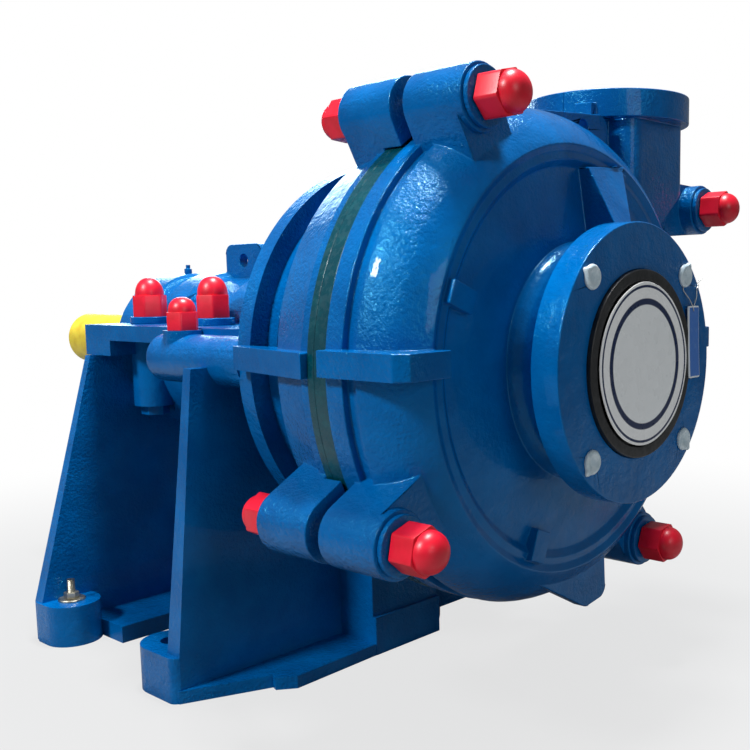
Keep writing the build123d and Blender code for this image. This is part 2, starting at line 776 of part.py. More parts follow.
cover_wall_x = shoulder_x - casing_wall - 4
lifting_foot_z = lifting_hole_z - lifting_plate_foot
with BuildPart() as cover_plate:
    with BuildSketch(shaft_side) as bowl:
        with BuildLine():
            Polyline((cover_rim_start, joint_ring_inner), (cover_rim_start, cover_rim_radius),
                     (cover_rim_end, cover_rim_radius),
                     (cover_rim_end, cover_rim_radius - groove_depth),
                     (groove_end, cover_rim_radius - groove_depth),
                     (groove_end, cover_rim_radius - 1))
            ThreePointArc((groove_end, cover_rim_radius - 1), (bowl_arc_x, bowl_arc_radius),
                          (shoulder_x, shoulder_radius))
            Polyline((shoulder_x, shoulder_radius),
                     (shoulder_x - shoulder_step / 2, shoulder_radius - shoulder_step),
                     (shoulder_x - shoulder_step / 4, inner_ridge_radius),
                     (shoulder_x - shoulder_step, inner_ridge_radius - shoulder_step),
                     (neck_foot_x, suction_neck_radius + suction_neck_fillet))
            RadiusArc((neck_foot_x, suction_neck_radius + suction_neck_fillet),
                      (neck_foot_x + suction_neck_fillet, suction_neck_radius),
                      suction_neck_fillet)
            Polyline((neck_foot_x + suction_neck_fillet, suction_neck_radius),
                     (flange_back, suction_neck_radius), (flange_back, suction_flange_radius),
                     (suction_face, suction_flange_radius), (suction_face, joint_ring_inner),
                     (cover_rim_start, joint_ring_inner))
        make_face()
    revolve(bowl.sketch, axis=shaft_line)
    add(neck.part)
    seam_rib(cover_rim_start, cover_rim_end)
    branch_lug_tab(cover_rim_start, cover_rim_end)
    split(bisect_by=across(cover_rim_start), keep=Keep.TOP)
    for (lug_y, lug_z), lug_front in zip(rim_lugs, lug_fronts):
        lug_arm(cover_lug_back, lug_front - lug_arm_gap, lug_y, lug_z)
        rods(cover_lug_back, lug_front, lug_radius, [(lug_y, lug_z)])
    rods(cover_rim_start, branch_lug_front, lug_radius, [branch_bolt])
    add(front_flange.part)
    for side in (-1, 1):
        slab_flat(bar_low + bar_lift, bar_high + bar_lift,
                  (cover_rim_start, side * (cover_rim_radius - bar_reach)),
                  (cover_rim_start, side * (cover_rim_radius + bar_reach)),
                  (cover_bar_end - cover_bar_corner, side * (cover_rim_radius + bar_reach)),
                  (cover_bar_end, side * (cover_rim_radius - 1)),
                  (cover_bar_end, side * (shoulder_radius - bar_reach)),
                  (groove_end, side * (shoulder_radius - bar_reach)),
                  (groove_end, side * (cover_rim_radius - bar_reach)))
    with BuildSketch(across(lifting_plate_front - lifting_plate_thickness)) as lifting_plate:
        with BuildLine():
            edge = FilletPolyline(near_top_bolt, *lifting_plate_edge,
                                  radius=lifting_plate_corner)
            Polyline(edge @ 1, (lifting_hole_y, lifting_foot_z),
                     (near_top_bolt[0], lifting_foot_z), edge @ 0)
        make_face()
        with Locations((lifting_hole_y, lifting_hole_z)):
            Circle(lifting_hole_radius, mode=Mode.SUBTRACT)
    extrude(lifting_plate.sketch, amount=lifting_plate_thickness)
    slab_across(cover_wall_x, flange_back, (gusset_near, gusset_top),
                (gusset_far, gusset_top + gusset_rise), (gusset_foot_far, suction_neck_radius),
                (gusset_near, suction_neck_radius))
    with BuildSketch(Plane.XZ) as gusset_slope:
        with BuildLine():
            Polyline((gusset_top_x, shaft_height + shoulder_radius),
                     (gusset_top_x, shaft_height + gusset_top),
                     (flange_back - gusset_land, shaft_height + suction_flange_radius),
                     (flange_back + 1, shaft_height + suction_flange_radius),
                     (flange_back + 1, shaft_height + shoulder_radius), close=True)
        make_face()
    extrude(gusset_slope.sketch, amount=2 * gusset_far, both=True, mode=Mode.SUBTRACT)
    with BuildSketch(across(cover_wall_x)) as pads:
        with PolarLocations(pad_circle, 4, start_angle=pad_start):
            Rectangle(pad_length, pad_width)
    extrude(pads.sketch, amount=pad_front - cover_wall_x)
    with BuildSketch(across(fin_front - fin_thickness)) as fin:
        with BuildLine():
            tip = FilletPolyline(*fin_edge, radius=fin_corner)
            Polyline(tip @ 1, fin_root, tip @ 0)
        make_face()
    extrude(fin.sketch, amount=fin_thickness)
    turned((cover_rim_start - 1, joint_ring_inner),
           (cover_rim_start - 1, cover_rim_radius - casing_wall),
           (groove_end + 3, cover_rim_radius - casing_wall - groove_depth / 2),
           (cover_wall_x - casing_wall, shoulder_radius + casing_wall - 2),
           (cover_wall_x, shoulder_radius - casing_wall),
           (cover_wall_x, suction_neck_radius + casing_wall),
           (cover_wall_x + casing_wall, suction_neck_radius - casing_wall),
           (cover_wall_x + casing_wall, joint_ring_inner), mode=Mode.SUBTRACT)
    volute(cover_rim_start - 1, throat_face, extra=liner_wall, mode=Mode.SUBTRACT)
    flange_cuts()
    rods(suction_face - joint_ring_depth, suction_face + 1, joint_ring_outer,
         mode=Mode.SUBTRACT)
    rods(flange_back - 1, suction_face + 1, suction_hole_radius, suction_spots,
         mode=Mode.SUBTRACT)
    rods(cover_rim_start - 1, cover_lug_front + 1, large_bolt, casing_bolt_spots,
         mode=Mode.SUBTRACT)
finish(cover_plate, "cover_plate")


# Rubber lining and throat
with BuildPart() as frame_plate_liner:
    casing_room(mode=Mode.ADD)
    rods(frame_rim_face, joint_plane, lip_radius)
    volute(frame_back + casing_wall, frame_rim_face, extra=liner_wall)
    slab_across(frame_rim_face, joint_plane, *neck_corners(flange_low))
    branch_tube(throat_high - 1, discharge_rise, discharge_bore + liner_wall)
    split(bisect_by=across(joint_plane), keep=Keep.BOTTOM)
    rods(frame_rim_face, joint_plane, large_bolt + hole_clearance, rim_lugs,
         mode=Mode.SUBTRACT)
    volute(chamber_back, joint_plane + 1, mode=Mode.SUBTRACT)
    branch_tube(throat_high - 1, discharge_rise + 1, discharge_bore, mode=Mode.SUBTRACT)
    rods(frame_back, joint_plane + 1, pocket_radius, mode=Mode.SUBTRACT)
finish(frame_plate_liner, "frame_plate_liner")

with BuildPart() as cover_plate_liner:
    rods(joint_plane, throat_face, cover_rim_radius - casing_wall - groove_depth)
    rods(joint_plane, cover_rim_start, lip_radius)
    volute(cover_rim_start, throat_face, extra=liner_wall)
    slab_across(joint_plane, cover_rim_start, *neck_corners(flange_low))
    branch_tube(throat_high - 1, discharge_rise, discharge_bore + liner_wall)
    split(bisect_by=across(joint_plane), keep=Keep.TOP)
    rods(joint_plane, cover_rim_start, large_bolt + hole_clearance, rim_lugs,
         mode=Mode.SUBTRACT)
    volute(joint_plane - 1, chamber_front, mode=Mode.SUBTRACT)
    branch_tube(throat_high - 1, discharge_rise + 1, discharge_bore, mode=Mode.SUBTRACT)
    rods(joint_plane - 1, throat_face + 1, pocket_radius, mode=Mode.SUBTRACT)
finish(cover_plate_liner, "cover_plate_liner")

lip_back = suction_face - joint_ring_depth
throat_back = throat_face + throat_thickness
ring_seat = lip_back + throat_lip
with BuildPart() as throatbush:
    turned((throat_face, suction_bore), (throat_face, pocket_radius),
           (throat_back, pocket_radius), (throat_back + throat_lip, joint_ring_outer),
           (throat_back + 3 * throat_lip, joint_ring_inner), (lip_back, joint_ring_inner),
           (lip_back, joint_ring_outer), (ring_seat, joint_ring_outer),
           (ring_seat, suction_bore))
finish(throatbush, "throatbush")

with BuildPart() as suction_joint_ring:
    rods(ring_seat, suction_face + joint_ring_proud, joint_ring_outer, bore=joint_ring_inner)
finish(suction_joint_ring, "suction_joint_ring")

with BuildPart() as suction_cover_disc:
    rods(ring_seat, suction_face + closing_disc_proud, closing_disc_radius)
    chamfer(suction_cover_disc.faces().sort_by(Axis.X)[-1].edges(), closing_disc_edge)
finish(suction_cover_disc, "suction_cover_disc")

with BuildPart() as discharge_joint_ring:
    posts(shaft_height + discharge_rise, shaft_height + discharge_rise + discharge_joint_proud,
          discharge_bore + liner_wall + saddle_edge, [(discharge_x, discharge_y)],
          bore=discharge_bore)
finish(discharge_joint_ring, "discharge_joint_ring")


# Casing fasteners
casing_ends = [
    (frame_lug_back, -1, rim_lugs),
    (branch_lug_back, -1, [branch_bolt]),
    (branch_lug_front, 1, [branch_bolt]),
    *[(lug_front, 1, [spot]) for spot, lug_front in zip(rim_lugs, lug_fronts)],
]
bolt_reach = casing_washer_thickness + large_nut_height + bolt_stub

with BuildPart() as casing_bolts:
    for spot, lug_front in zip(rim_lugs, lug_fronts):
        rods(frame_lug_back - bolt_reach, lug_front + bolt_reach, large_bolt, [spot])
    rods(branch_lug_back - bolt_reach, branch_lug_front + bolt_reach, large_bolt, [branch_bolt])
finish(casing_bolts, "casing_bolts")

with BuildPart() as casing_washers:
    for seat, way, spots in casing_ends:
        rods(seat, seat + way * casing_washer_thickness, casing_washer_radius, spots,
             bore=large_bolt)
finish(casing_washers, "casing_washers")

with BuildPart() as casing_nuts:
    for seat, way, spots in casing_ends:
        hexagons(end_plane(seat + way * casing_washer_thickness, way), facing(spots, way),
                 large_nut_height, large_nut, large_bolt)
finish(casing_nuts, "casing_nuts")

with BuildPart() as casing_bolt_caps:
    for seat, way, spots in casing_ends:
        caps(end_plane(seat + way * (casing_washer_thickness + cap_gap), way),
             facing(spots, way), casing_cap_across, casing_cap_hex, casing_cap_height,
             large_nut, large_nut_height + bolt_stub - cap_gap + 1)
finish(casing_bolt_caps, "casing_bolt_caps")

stud_seat = ring_front + frame_flange_thickness
stud_reach = stud_nut_height + bolt_stub
with BuildPart() as frame_plate_studs:
    rods(ring_back - stud_reach, stud_seat + stud_reach, stud_radius, stud_spots)
finish(frame_plate_studs, "frame_plate_studs")

with BuildPart() as frame_plate_nuts:
    hexagons(end_plane(stud_seat, 1), stud_spots, stud_nut_height, stud_nut, stud_radius)
    hexagons(end_plane(ring_back, -1), facing(stud_spots, -1), stud_nut_height, stud_nut,
             stud_radius)
finish(frame_plate_nuts, "frame_plate_nuts")


# Seal between the casing and the bearings
insert_back = frame_back - insert_seat
with BuildPart() as liner_insert:
    turned((insert_back, seal_bore), (insert_back, frame_neck_inner),
           (frame_back + casing_wall, frame_neck_inner),
           (frame_back + casing_wall, pocket_radius - loose),
           (insert_face, pocket_radius - loose), (insert_face, seal_bore))
finish(liner_insert, "liner_insert")

ring_web = expeller_ring_back + ring_wall
box_start = expeller_ring_back - stuffing_box_depth
with BuildPart() as expeller_ring:
    turned((expeller_ring_back, seal_bore), (expeller_ring_back, frame_neck_inner),
           (insert_back, frame_neck_inner), (insert_back, expeller_chamber),
           (ring_web, expeller_chamber), (ring_web, seal_bore))
    turned((box_start, stuffing_box_radius),
           (box_start, stuffing_box_radius + stuffing_box_wall),
           (expeller_ring_back, stuffing_box_radius + stuffing_box_wall),
           (expeller_ring_back + overlap, stuffing_box_radius))
finish(expeller_ring, "expeller_ring")

packing_bore = shaft_sleeve_radius + fit
with BuildPart() as packing_rings:
    for index in range(packing_count):
        start = expeller_ring_back - (index + 1) * packing_depth
        rods(start, start + packing_depth - packing_gap, stuffing_box_radius,
             bore=packing_bore)
finish(packing_rings, "packing_rings")

gland_bore = packing_bore + hole_clearance
gland_face = expeller_ring_back - packing_count * packing_depth
gland_back = gland_face - gland_nose - gland_flange_thickness
gland_bolt_spots = [(gland_bolt_circle * side, 0) for side in (-1, 1)]
with BuildPart() as gland:
    turned((gland_back, gland_bore), (gland_back, stuffing_box_radius + gland_nose),
           (gland_face - gland_nose, stuffing_box_radius + gland_nose),
           (gland_face - gland_nose, stuffing_box_radius - loose),
           (gland_face, stuffing_box_radius - loose), (gland_face, gland_bore))
    with BuildSketch(across(gland_back)) as ears:
        SlotCenterToCenter(2 * gland_bolt_circle, 2 * (gland_flange_radius - gland_bolt_circle))
    extrude(ears.sketch, amount=gland_flange_thickness)
    rods(gland_back - 1, gland_face + 1, gland_bore, mode=Mode.SUBTRACT)
    rods(gland_back - 1, gland_face, gland_bolt_radius, gland_bolt_spots, mode=Mode.SUBTRACT)
finish(gland, "gland")

with BuildPart() as gland_bolts:
    rods(gland_back - gland_nut_height - bolt_stub, expeller_ring_back, gland_bolt_radius,
         gland_bolt_spots)
finish(gland_bolts, "gland_bolts")

with BuildPart() as gland_nuts:
    hexagons(end_plane(gland_back, -1), gland_bolt_spots, gland_nut_height, gland_nut,
             gland_bolt_radius)
finish(gland_nuts, "gland_nuts")


# Bearing cartridge
drive_land = housing_start + drive_land_length
wet_land = housing_end - wet_land_length
saddle_reach = saddle_half + saddle_edge
adjust_z = shaft_height - adjust_drop
ledge_reach = clamp_y - large_bolt - 2 * overlap
washer_room = clamp_washer_radius + slide_room
eye_x = (lifting_eye_start + lifting_eye_end) / 2
with BuildPart() as bearing_housing:
    turned((housing_start, housing_bore), (housing_start, housing_radius),
           (drive_land, housing_radius), (drive_land + waist_slope, housing_waist),
           (clamp_x[0] - saddle_half - waist_slope, housing_waist),
           (clamp_x[0] - saddle_reach, housing_radius),
           (clamp_x[0] + saddle_reach, housing_radius),
           (clamp_x[0] + saddle_reach + waist_slope, housing_waist),
           (wet_land - waist_slope, housing_waist), (wet_land, housing_radius),
           (housing_end, housing_radius), (housing_end, housing_bore))
    for x in clamp_x:
        for side in (-1, 1):
            block((x - clamp_washer_radius, x + clamp_washer_radius),
                  sorted((side * (housing_bore + overlap), side * ledge_reach)),
                  (shaft_height + 2 * saddle_edge, top_plate_high))
    posts(top_plate_high, shaft_height + housing_radius + 1, washer_room, clamp_spots,
          mode=Mode.SUBTRACT)
    block((lifting_eye_start, lifting_eye_end),
          (-lifting_eye_thickness / 2, lifting_eye_thickness / 2),
          (shaft_height + housing_bore + saddle_edge, lifting_eye_top))
    fillet(bearing_housing.edges().filter_by(Axis.Y).sort_by(Axis.Z)[-2:], lifting_eye_corner)
    block((adjust_lug_x - adjust_lug_thickness, adjust_lug_x),
          (-adjust_lug_half, adjust_lug_half),
          (adjust_z - adjust_lug_half, shaft_height - housing_bore - saddle_edge))
    rods(drive_bearing_x + bearing_width / 2, wet_bearing_x - bearing_width / 2,
         housing_bore - bearing_stop, mode=Mode.SUBTRACT)
    rods(housing_start - 1, drive_bearing_x + bearing_width / 2, housing_bore,
         mode=Mode.SUBTRACT)
    rods(wet_bearing_x - bearing_width / 2, housing_end + 1, housing_bore, mode=Mode.SUBTRACT)
    with BuildSketch(Plane.XZ) as eye:
        with Locations((eye_x, lifting_eye_top - lifting_eye_drop)):
            Circle(lifting_eye_radius)
    extrude(eye.sketch, amount=lifting_eye_thickness, both=True, mode=Mode.SUBTRACT)
    rods(adjust_lug_x - adjust_lug_thickness - 1, adjust_lug_x + 1, adjust_radius,
         [(0, -adjust_drop)], mode=Mode.SUBTRACT)
finish(bearing_housing, "bearing_housing")

cover_ends = ((housing_start, -1, drive_bearing_x, "drive"),
              (housing_end, 1, wet_bearing_x, "wet"))
roller_spots = ring_of(roller_count, roller_circle)
for seat, way, bearing_x, name in cover_ends:
    bearing_back = bearing_x - bearing_width / 2
    bearing_front = bearing_x + bearing_width / 2
    bearing_side = bearing_x + way * bearing_width / 2
    outer_face = seat + way * end_cover_thickness
    with BuildPart() as end_cover:
        turned((bearing_side, housing_bore - end_cover_spigot),
               (bearing_side, housing_bore - fit), (seat, housing_bore - fit),
               (seat, end_cover_radius), (outer_face, end_cover_radius),
               (outer_face, shaft_bearing_radius + end_cover_thickness),
               (seat, shaft_bearing_radius + end_cover_thickness),
               (seat, housing_bore - end_cover_spigot))
        rods(seat - way, outer_face + way, end_bolt_radius, end_bolt_spots,
             mode=Mode.SUBTRACT)
    finish(end_cover, name + "_end_cover")

    with BuildPart() as outer_ring:
        rods(bearing_back, bearing_front, housing_bore, bore=housing_bore - bearing_outer_wall)
    finish(outer_ring, name + "_bearing_outer")

    with BuildPart() as inner_ring:
        rods(bearing_back, bearing_front, shaft_bearing_radius + bearing_inner_wall,
             bore=shaft_bearing_radius)
    finish(inner_ring, name + "_bearing_inner")

    with BuildPart() as rollers:
        rods(bearing_x - roller_length / 2, bearing_x + roller_length / 2, roller_radius,
             roller_spots)
        for end in (-1, 1):
            face = bearing_x + end * roller_length / 2
            rods(face, face + end * cage_thickness, roller_circle + cage_half,
                 bore=roller_circle - cage_half)
    finish(rollers, name + "_bearing_rollers")

    with BuildPart() as labyrinth:
        inner_face = outer_face + way * labyrinth_gap
        seal_end = outer_face + way * labyrinth_thickness
        rim = shaft_bearing_radius + labyrinth_thickness
        turned((bearing_side, shaft_bearing_radius), (bearing_side, rim), (inner_face, rim),
               (inner_face, shaft_bearing_radius + labyrinth_reach),
               (seal_end, shaft_bearing_radius + labyrinth_reach),
               (seal_end, shaft_bearing_radius))
    finish(labyrinth, name + "_labyrinth")

with BuildPart() as end_cover_bolts:
    for seat, way, bearing_x, name in cover_ends:
        outer_face = seat + way * end_cover_thickness
        rods(seat, outer_face, end_bolt_radius, end_bolt_spots)
        hexagons(end_plane(outer_face, way), end_bolt_spots, end_bolt_head_height,
                 end_bolt_head)
finish(end_cover_bolts, "end_cover_bolts")

nipple_seat = shaft_height + housing_radius
nipple_spots = [(drive_bearing_x, 0), (wet_bearing_x, 0)]
with BuildPart() as grease_nipples:
    posts(nipple_seat, nipple_seat + nipple_height, nipple_radius, nipple_spots)
    posts(nipple_seat + nipple_height, nipple_seat + nipple_height + nipple_tip_height,
          nipple_tip_radius, nipple_spots)
finish(grease_nipples, "grease_nipples")

with BuildPart() as adjusting_screw:
    rods(drive_wall_face - adjust_nut_height - adjust_screw_reach, adjust_lug_x, adjust_radius,
         [(0, -adjust_drop)])
finish(adjusting_screw, "adjusting_screw")

drive_wall_inner = drive_wall_face + drive_wall_bottom
with BuildPart() as adjusting_nuts:
    hexagons(end_plane(drive_wall_face - loose, -1), [(0, adjust_drop)], adjust_nut_height,
             adjust_nut, adjust_radius + fit)
    hexagons(end_plane(drive_wall_inner + loose, 1), [(0, -adjust_drop)], adjust_nut_height,
             adjust_nut, adjust_radius + fit)
finish(adjusting_nuts, "adjusting_nuts")


# Rotor
with BuildPart() as shaft:
    turned((shaft_end, 0), (shaft_end, shaft_coupling_radius - shaft_end_edge),
           (shaft_end + shaft_end_edge, shaft_coupling_radius),
           (drive_seal_end, shaft_coupling_radius), (drive_seal_end, shaft_bearing_radius),
           (drive_bearing_x + bearing_width / 2, shaft_bearing_radius),
           (drive_bearing_x + bearing_width / 2, shaft_shoulder),
           (wet_bearing_x - bearing_width / 2, shaft_shoulder),
           (wet_bearing_x - bearing_width / 2, shaft_bearing_radius),
           (wet_seal_end, shaft_bearing_radius), (wet_seal_end, shaft_wet_radius),
           (shaft_tip, shaft_wet_radius), (shaft_tip, 0))
    with BuildSketch(Plane.XY.offset(shaft_height + shaft_coupling_radius - keyway_depth)) as key:
        with Locations((shaft_end + keyway_start + keyway_length / 2, 0)):
            SlotOverall(keyway_length, keyway_width)
    extrude(key.sketch, amount=keyway_depth + 1, mode=Mode.SUBTRACT)
finish(shaft, "shaft")

with BuildPart() as shaft_end_sleeve:
    rods(shaft_end, drive_seal_end - end_sleeve_gap, end_sleeve_radius,
         bore=shaft_coupling_radius)
finish(shaft_end_sleeve, "shaft_end_sleeve")

with BuildPart() as shaft_sleeve:
    rods(wet_seal_end, expeller_start, shaft_sleeve_radius, bore=shaft_wet_radius)
finish(shaft_sleeve, "shaft_sleeve")

vane_start = expeller_start + ring_wall - 1
with BuildPart() as expeller:
    rods(expeller_start, expeller_start + ring_wall, expeller_radius, bore=shaft_wet_radius)
    rods(expeller_start + ring_wall, expeller_end, shaft_sleeve_radius, bore=shaft_wet_radius)
    with BuildSketch(across(vane_start)) as expelling_vanes:
        with PolarLocations((shaft_sleeve_radius + expeller_radius) / 2 - 2,
                            expelling_vane_count):
            Rectangle(expeller_radius - shaft_sleeve_radius, expelling_vane_width)
    extrude(expelling_vanes.sketch, amount=expeller_end - vane_start - sleeve_gap)
finish(expeller, "expeller")

with BuildPart() as shaft_spacer:
    rods(expeller_end, impeller_back, shaft_sleeve_radius, bore=shaft_wet_radius)
finish(shaft_spacer, "shaft_spacer")

back_shroud = impeller_back + shroud_thickness
front_shroud = impeller_front - shroud_thickness
with BuildPart() as impeller:
    turned((impeller_back, 0), (impeller_back, impeller_radius),
           (back_shroud, impeller_radius), (back_shroud + saddle_edge, impeller_hub),
           (impeller_back + hub_nose_length - 2 * hub_nose_radius, hub_nose_radius),
           (impeller_back + hub_nose_length, 0))
    turned((front_shroud, impeller_eye), (front_shroud, impeller_radius),
           (impeller_front, impeller_radius), (impeller_front, impeller_eye))
    for index in range(vane_count):
        turn = 360 / vane_count * index
        with BuildSketch(across(back_shroud - 1)) as vane:
            with BuildLine():
                ThreePointArc(*[polar(radius, turn - lag) for radius, lag in vane_camber])
            trace(line_width=vane_thickness)
            Circle(impeller_radius - 1, mode=Mode.INTERSECT)
        extrude(vane.sketch, amount=front_shroud - back_shroud + 2)
    rods(impeller_back - 1, shaft_tip, shaft_wet_radius, mode=Mode.SUBTRACT)
finish(impeller, "impeller")
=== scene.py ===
import json
import logging
import math
from dataclasses import dataclass
from enum import Enum
from typing import Any, Dict, List, Optional, Sequence, Tuple

import bmesh
import bpy
import numpy as np
from mathutils import Matrix, Vector


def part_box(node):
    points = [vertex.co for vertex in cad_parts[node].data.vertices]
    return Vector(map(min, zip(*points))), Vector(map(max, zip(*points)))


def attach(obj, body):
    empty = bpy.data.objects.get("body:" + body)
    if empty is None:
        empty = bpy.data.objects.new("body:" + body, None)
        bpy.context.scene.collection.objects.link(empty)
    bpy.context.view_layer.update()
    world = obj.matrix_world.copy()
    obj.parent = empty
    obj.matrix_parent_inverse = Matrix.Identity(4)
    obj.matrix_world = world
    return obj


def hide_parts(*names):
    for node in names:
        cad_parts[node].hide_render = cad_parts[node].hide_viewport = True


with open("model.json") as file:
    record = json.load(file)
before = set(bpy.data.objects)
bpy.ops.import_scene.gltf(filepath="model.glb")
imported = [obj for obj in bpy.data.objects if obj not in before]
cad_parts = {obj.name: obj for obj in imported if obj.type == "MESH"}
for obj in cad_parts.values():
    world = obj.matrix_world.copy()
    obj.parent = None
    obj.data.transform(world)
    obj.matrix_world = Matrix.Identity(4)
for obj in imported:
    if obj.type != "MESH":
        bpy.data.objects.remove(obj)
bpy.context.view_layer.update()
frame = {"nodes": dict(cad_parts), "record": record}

LOG = logging.getLogger("slurry_pump")

Object = bpy.types.Object
Material = bpy.types.Material
Node = bpy.types.Node
Socket = bpy.types.NodeSocket
Array = np.ndarray
Colour = Tuple[float, float, float, float]
Point = Tuple[float, float, float]

FORWARD: Point = (1.0, 0.0, 0.0)
BACK: Point = (-1.0, 0.0, 0.0)
UP: Point = (0.0, 0.0, 1.0)
MERGE_DISTANCE = 1e-6
FLAT_FACE_EDGE = 1e-7


class Slot(Enum):
    """Finish slots of the record, one for each kind of surface on the pump."""

    PAINT = "blue_paint"
    CAP = "red_cap"
    LINER = "green_rubber"
    SEAL = "black_rubber"
    ZINC = "zinc_steel"
    WEAR = "wear_iron"
    PACKING = "packing"
    DISC = "white_disc"
    SLEEVE = "yellow_sleeve"
    STEEL = "machined_steel"


def configured(made: Any, **settings: Any) -> Any:
    """Set properties of something that Blender made, in order, and give it back."""
    for key, value in settings.items():
        setattr(made, key, value)
    return made


# Shader building


class Signal:
    """A number that changes over a surface; its operators add Math nodes."""

    def __init__(self, graph: "Graph", socket: Socket) -> None:
        """Keep an output socket and the graph that owns it."""
        self.graph = graph
        self.socket = socket

    def _math(self, operation: str, *values: Any) -> "Signal":
        """Add one Math node.

        Args:
            operation: name of the Math operation.
            values: its numbers or signals, in order.

        Returns:
            The signal of the new node.
        """
        inputs = dict(enumerate(values))
        made = self.graph.node("ShaderNodeMath", {"operation": operation}, inputs)
        return Signal(self.graph, made.outputs[0])

    def __add__(self, other: Any) -> "Signal":
        """Sum."""
        return self._math("ADD", self, other)

    __radd__ = __add__

    def __sub__(self, other: Any) -> "Signal":
        """Difference."""
        return self._math("SUBTRACT", self, other)

    def __rsub__(self, other: Any) -> "Signal":
        """Difference from a plain number."""
        return self._math("SUBTRACT", other, self)

    def __mul__(self, other: Any) -> "Signal":
        """Product."""
        return self._math("MULTIPLY", self, other)

    __rmul__ = __mul__

    def __abs__(self) -> "Signal":
        """Size without sign."""
        return self._math("ABSOLUTE", self)

    def larger(self, other: Any) -> "Signal":
        """The larger of two numbers."""
        return self._math("MAXIMUM", self, other)

    def root(self) -> "Signal":
        """Square root."""
        return self._math("SQRT", self)

    def ramp(self, low: float, high: float, start: float = 0.0, end: float = 1.0) -> "Signal":
        """Smooth step from start, where the input is low, to end, where it is high."""
        made = self.graph.node(
            "ShaderNodeMapRange",
            {"interpolation_type": "SMOOTHSTEP"},
            {0: self, 1: low, 2: high, 3: start, 4: end},
        )
        return Signal(self.graph, made.outputs[0])


class Graph:
    """Node graph of one material, or of the world."""

    def __init__(self, name: str, world: bool = False) -> None:
        """Make an empty material or world.

        Args:
            name: name of the material or world.
            world: whether it is a world.
        """
        self.owner = (bpy.data.worlds if world else bpy.data.materials).new(name)
        self.owner.use_nodes = True
        self.tree = self.owner.node_tree
        self.tree.nodes.clear()
        self.output = self.node(f"ShaderNodeOutput{'World' if world else 'Material'}")
        self._place: Optional[Socket] = None

    def node(
        self,
        kind: str,
        settings: Optional[Dict[str, Any]] = None,
        inputs: Optional[Dict[Any, Any]] = None,
    ) -> Node:
        """Add any node.

        Args:
            kind: node type.
            settings: properties set first, such as an operation.
            inputs: socket name or index, with a value, a socket or a signal for each.

        Returns:
            The new node.
        """
        made = configured(self.tree.nodes.new(kind), **(settings or {}))
        for key, value in (inputs or {}).items():
            self.feed(made.inputs[key], value)
        return made

    def feed(self, socket: Socket, value: Any) -> None:
        """Link or set one input socket.

        Args:
            socket: the input.
            value: a signal, an output socket, a number, a vector or a colour.
        """
        if isinstance(value, Signal):
            self.tree.links.new(value.socket, socket)
        elif isinstance(value, Socket):
            self.tree.links.new(value, socket)
        else:
            socket.default_value = value

    def place(self) -> Socket:
        """Object coordinates, in metres in the pump's own frame."""
        if self._place is None:
            self._place = self.node("ShaderNodeTexCoord").outputs["Object"]
        return self._place

    def parts_of(self, vector: Any) -> Tuple[Signal, Signal, Signal]:
        """Split a vector into its X, Y and Z."""
        split = self.node("ShaderNodeSeparateXYZ", None, {0: vector})
        return tuple(Signal(self, part) for part in split.outputs)

    def moved(self, offset: Sequence[float], scale: Sequence[float] = (1, 1, 1)) -> Any:
        """Object coordinates shifted and then scaled.

        Args:
            offset: point that becomes the centre.
            scale: factor along each axis.

        Returns:
            The vector socket.
        """
        vector = self.place()
        for operation, amount in (("SUBTRACT", offset), ("MULTIPLY", scale)):
            made = self.node("ShaderNodeVectorMath", {"operation": operation},
                             {0: vector, 1: tuple(amount)})
            vector = made.outputs[0]
        return vector

    def noise(
        self, scale: float, detail: float = 2.0, roughness: float = 0.5, vector: Any = None
    ) -> Signal:
        """Cloudy noise from 0 to 1: scale is its waves in a metre, detail its finer layers."""
        made = self.node(
            "ShaderNodeTexNoise", None,
            {"Vector": vector or self.place(), "Scale": scale, "Detail": detail,
             "Roughness": roughness},
        )
        return Signal(self, made.outputs[0])

    def uneven(
        self, low: float, high: float, scale: float, detail: float = 2.0, roughness: float = 0.5
    ) -> Signal:
        """Cloudy noise spread between two values, such as those of a roughness."""
        return self.noise(scale, detail, roughness).ramp(0.3, 0.7, low, high)

    def blend(self, factor: Any, first: Any, second: Any) -> Socket:
        """Mix two colours: the first at a factor of 0, the second at 1."""
        sides = {0: factor, 6: first, 7: second}
        return self.node("ShaderNodeMix", {"data_type": "RGBA"}, sides).outputs[2]

    def bump(self, height: Signal, depth: float, under: Any = None) -> Socket:
        """Bump a surface.

        Args:
            height: signal from 0 to 1.
            depth: metres between 0 and 1.
            under: normal of a coarser bump below this one.

        Returns:
            The normal socket.
        """
        inputs = {"Height": height, "Distance": depth, "Strength": 1.0}
        if under is not None:
            inputs["Normal"] = under
        return self.node("ShaderNodeBump", None, inputs).outputs[0]

    def surface(self, **inputs: Any) -> Material:
        """Close the material with its Principled shader.

        Args:
            inputs: socket names with underscores for spaces, and a value or link for each.

        Returns:
            The finished material.
        """
        named = {key.replace("_", " "): value for key, value in inputs.items()}
        shader = self.node("ShaderNodeBsdfPrincipled", None, named)
        return self.close(shader)

    def close(self, last: Node) -> Any:
        """Feed the output with the last node's shader, and give the material or world."""
        self.feed(self.output.inputs[0], last.outputs[0])
        return self.owner


def colour(red: float, green: float, blue: float) -> Colour:
    """Opaque colour from linear parts."""
    return (red, green, blue, 1.0)


# Finishes


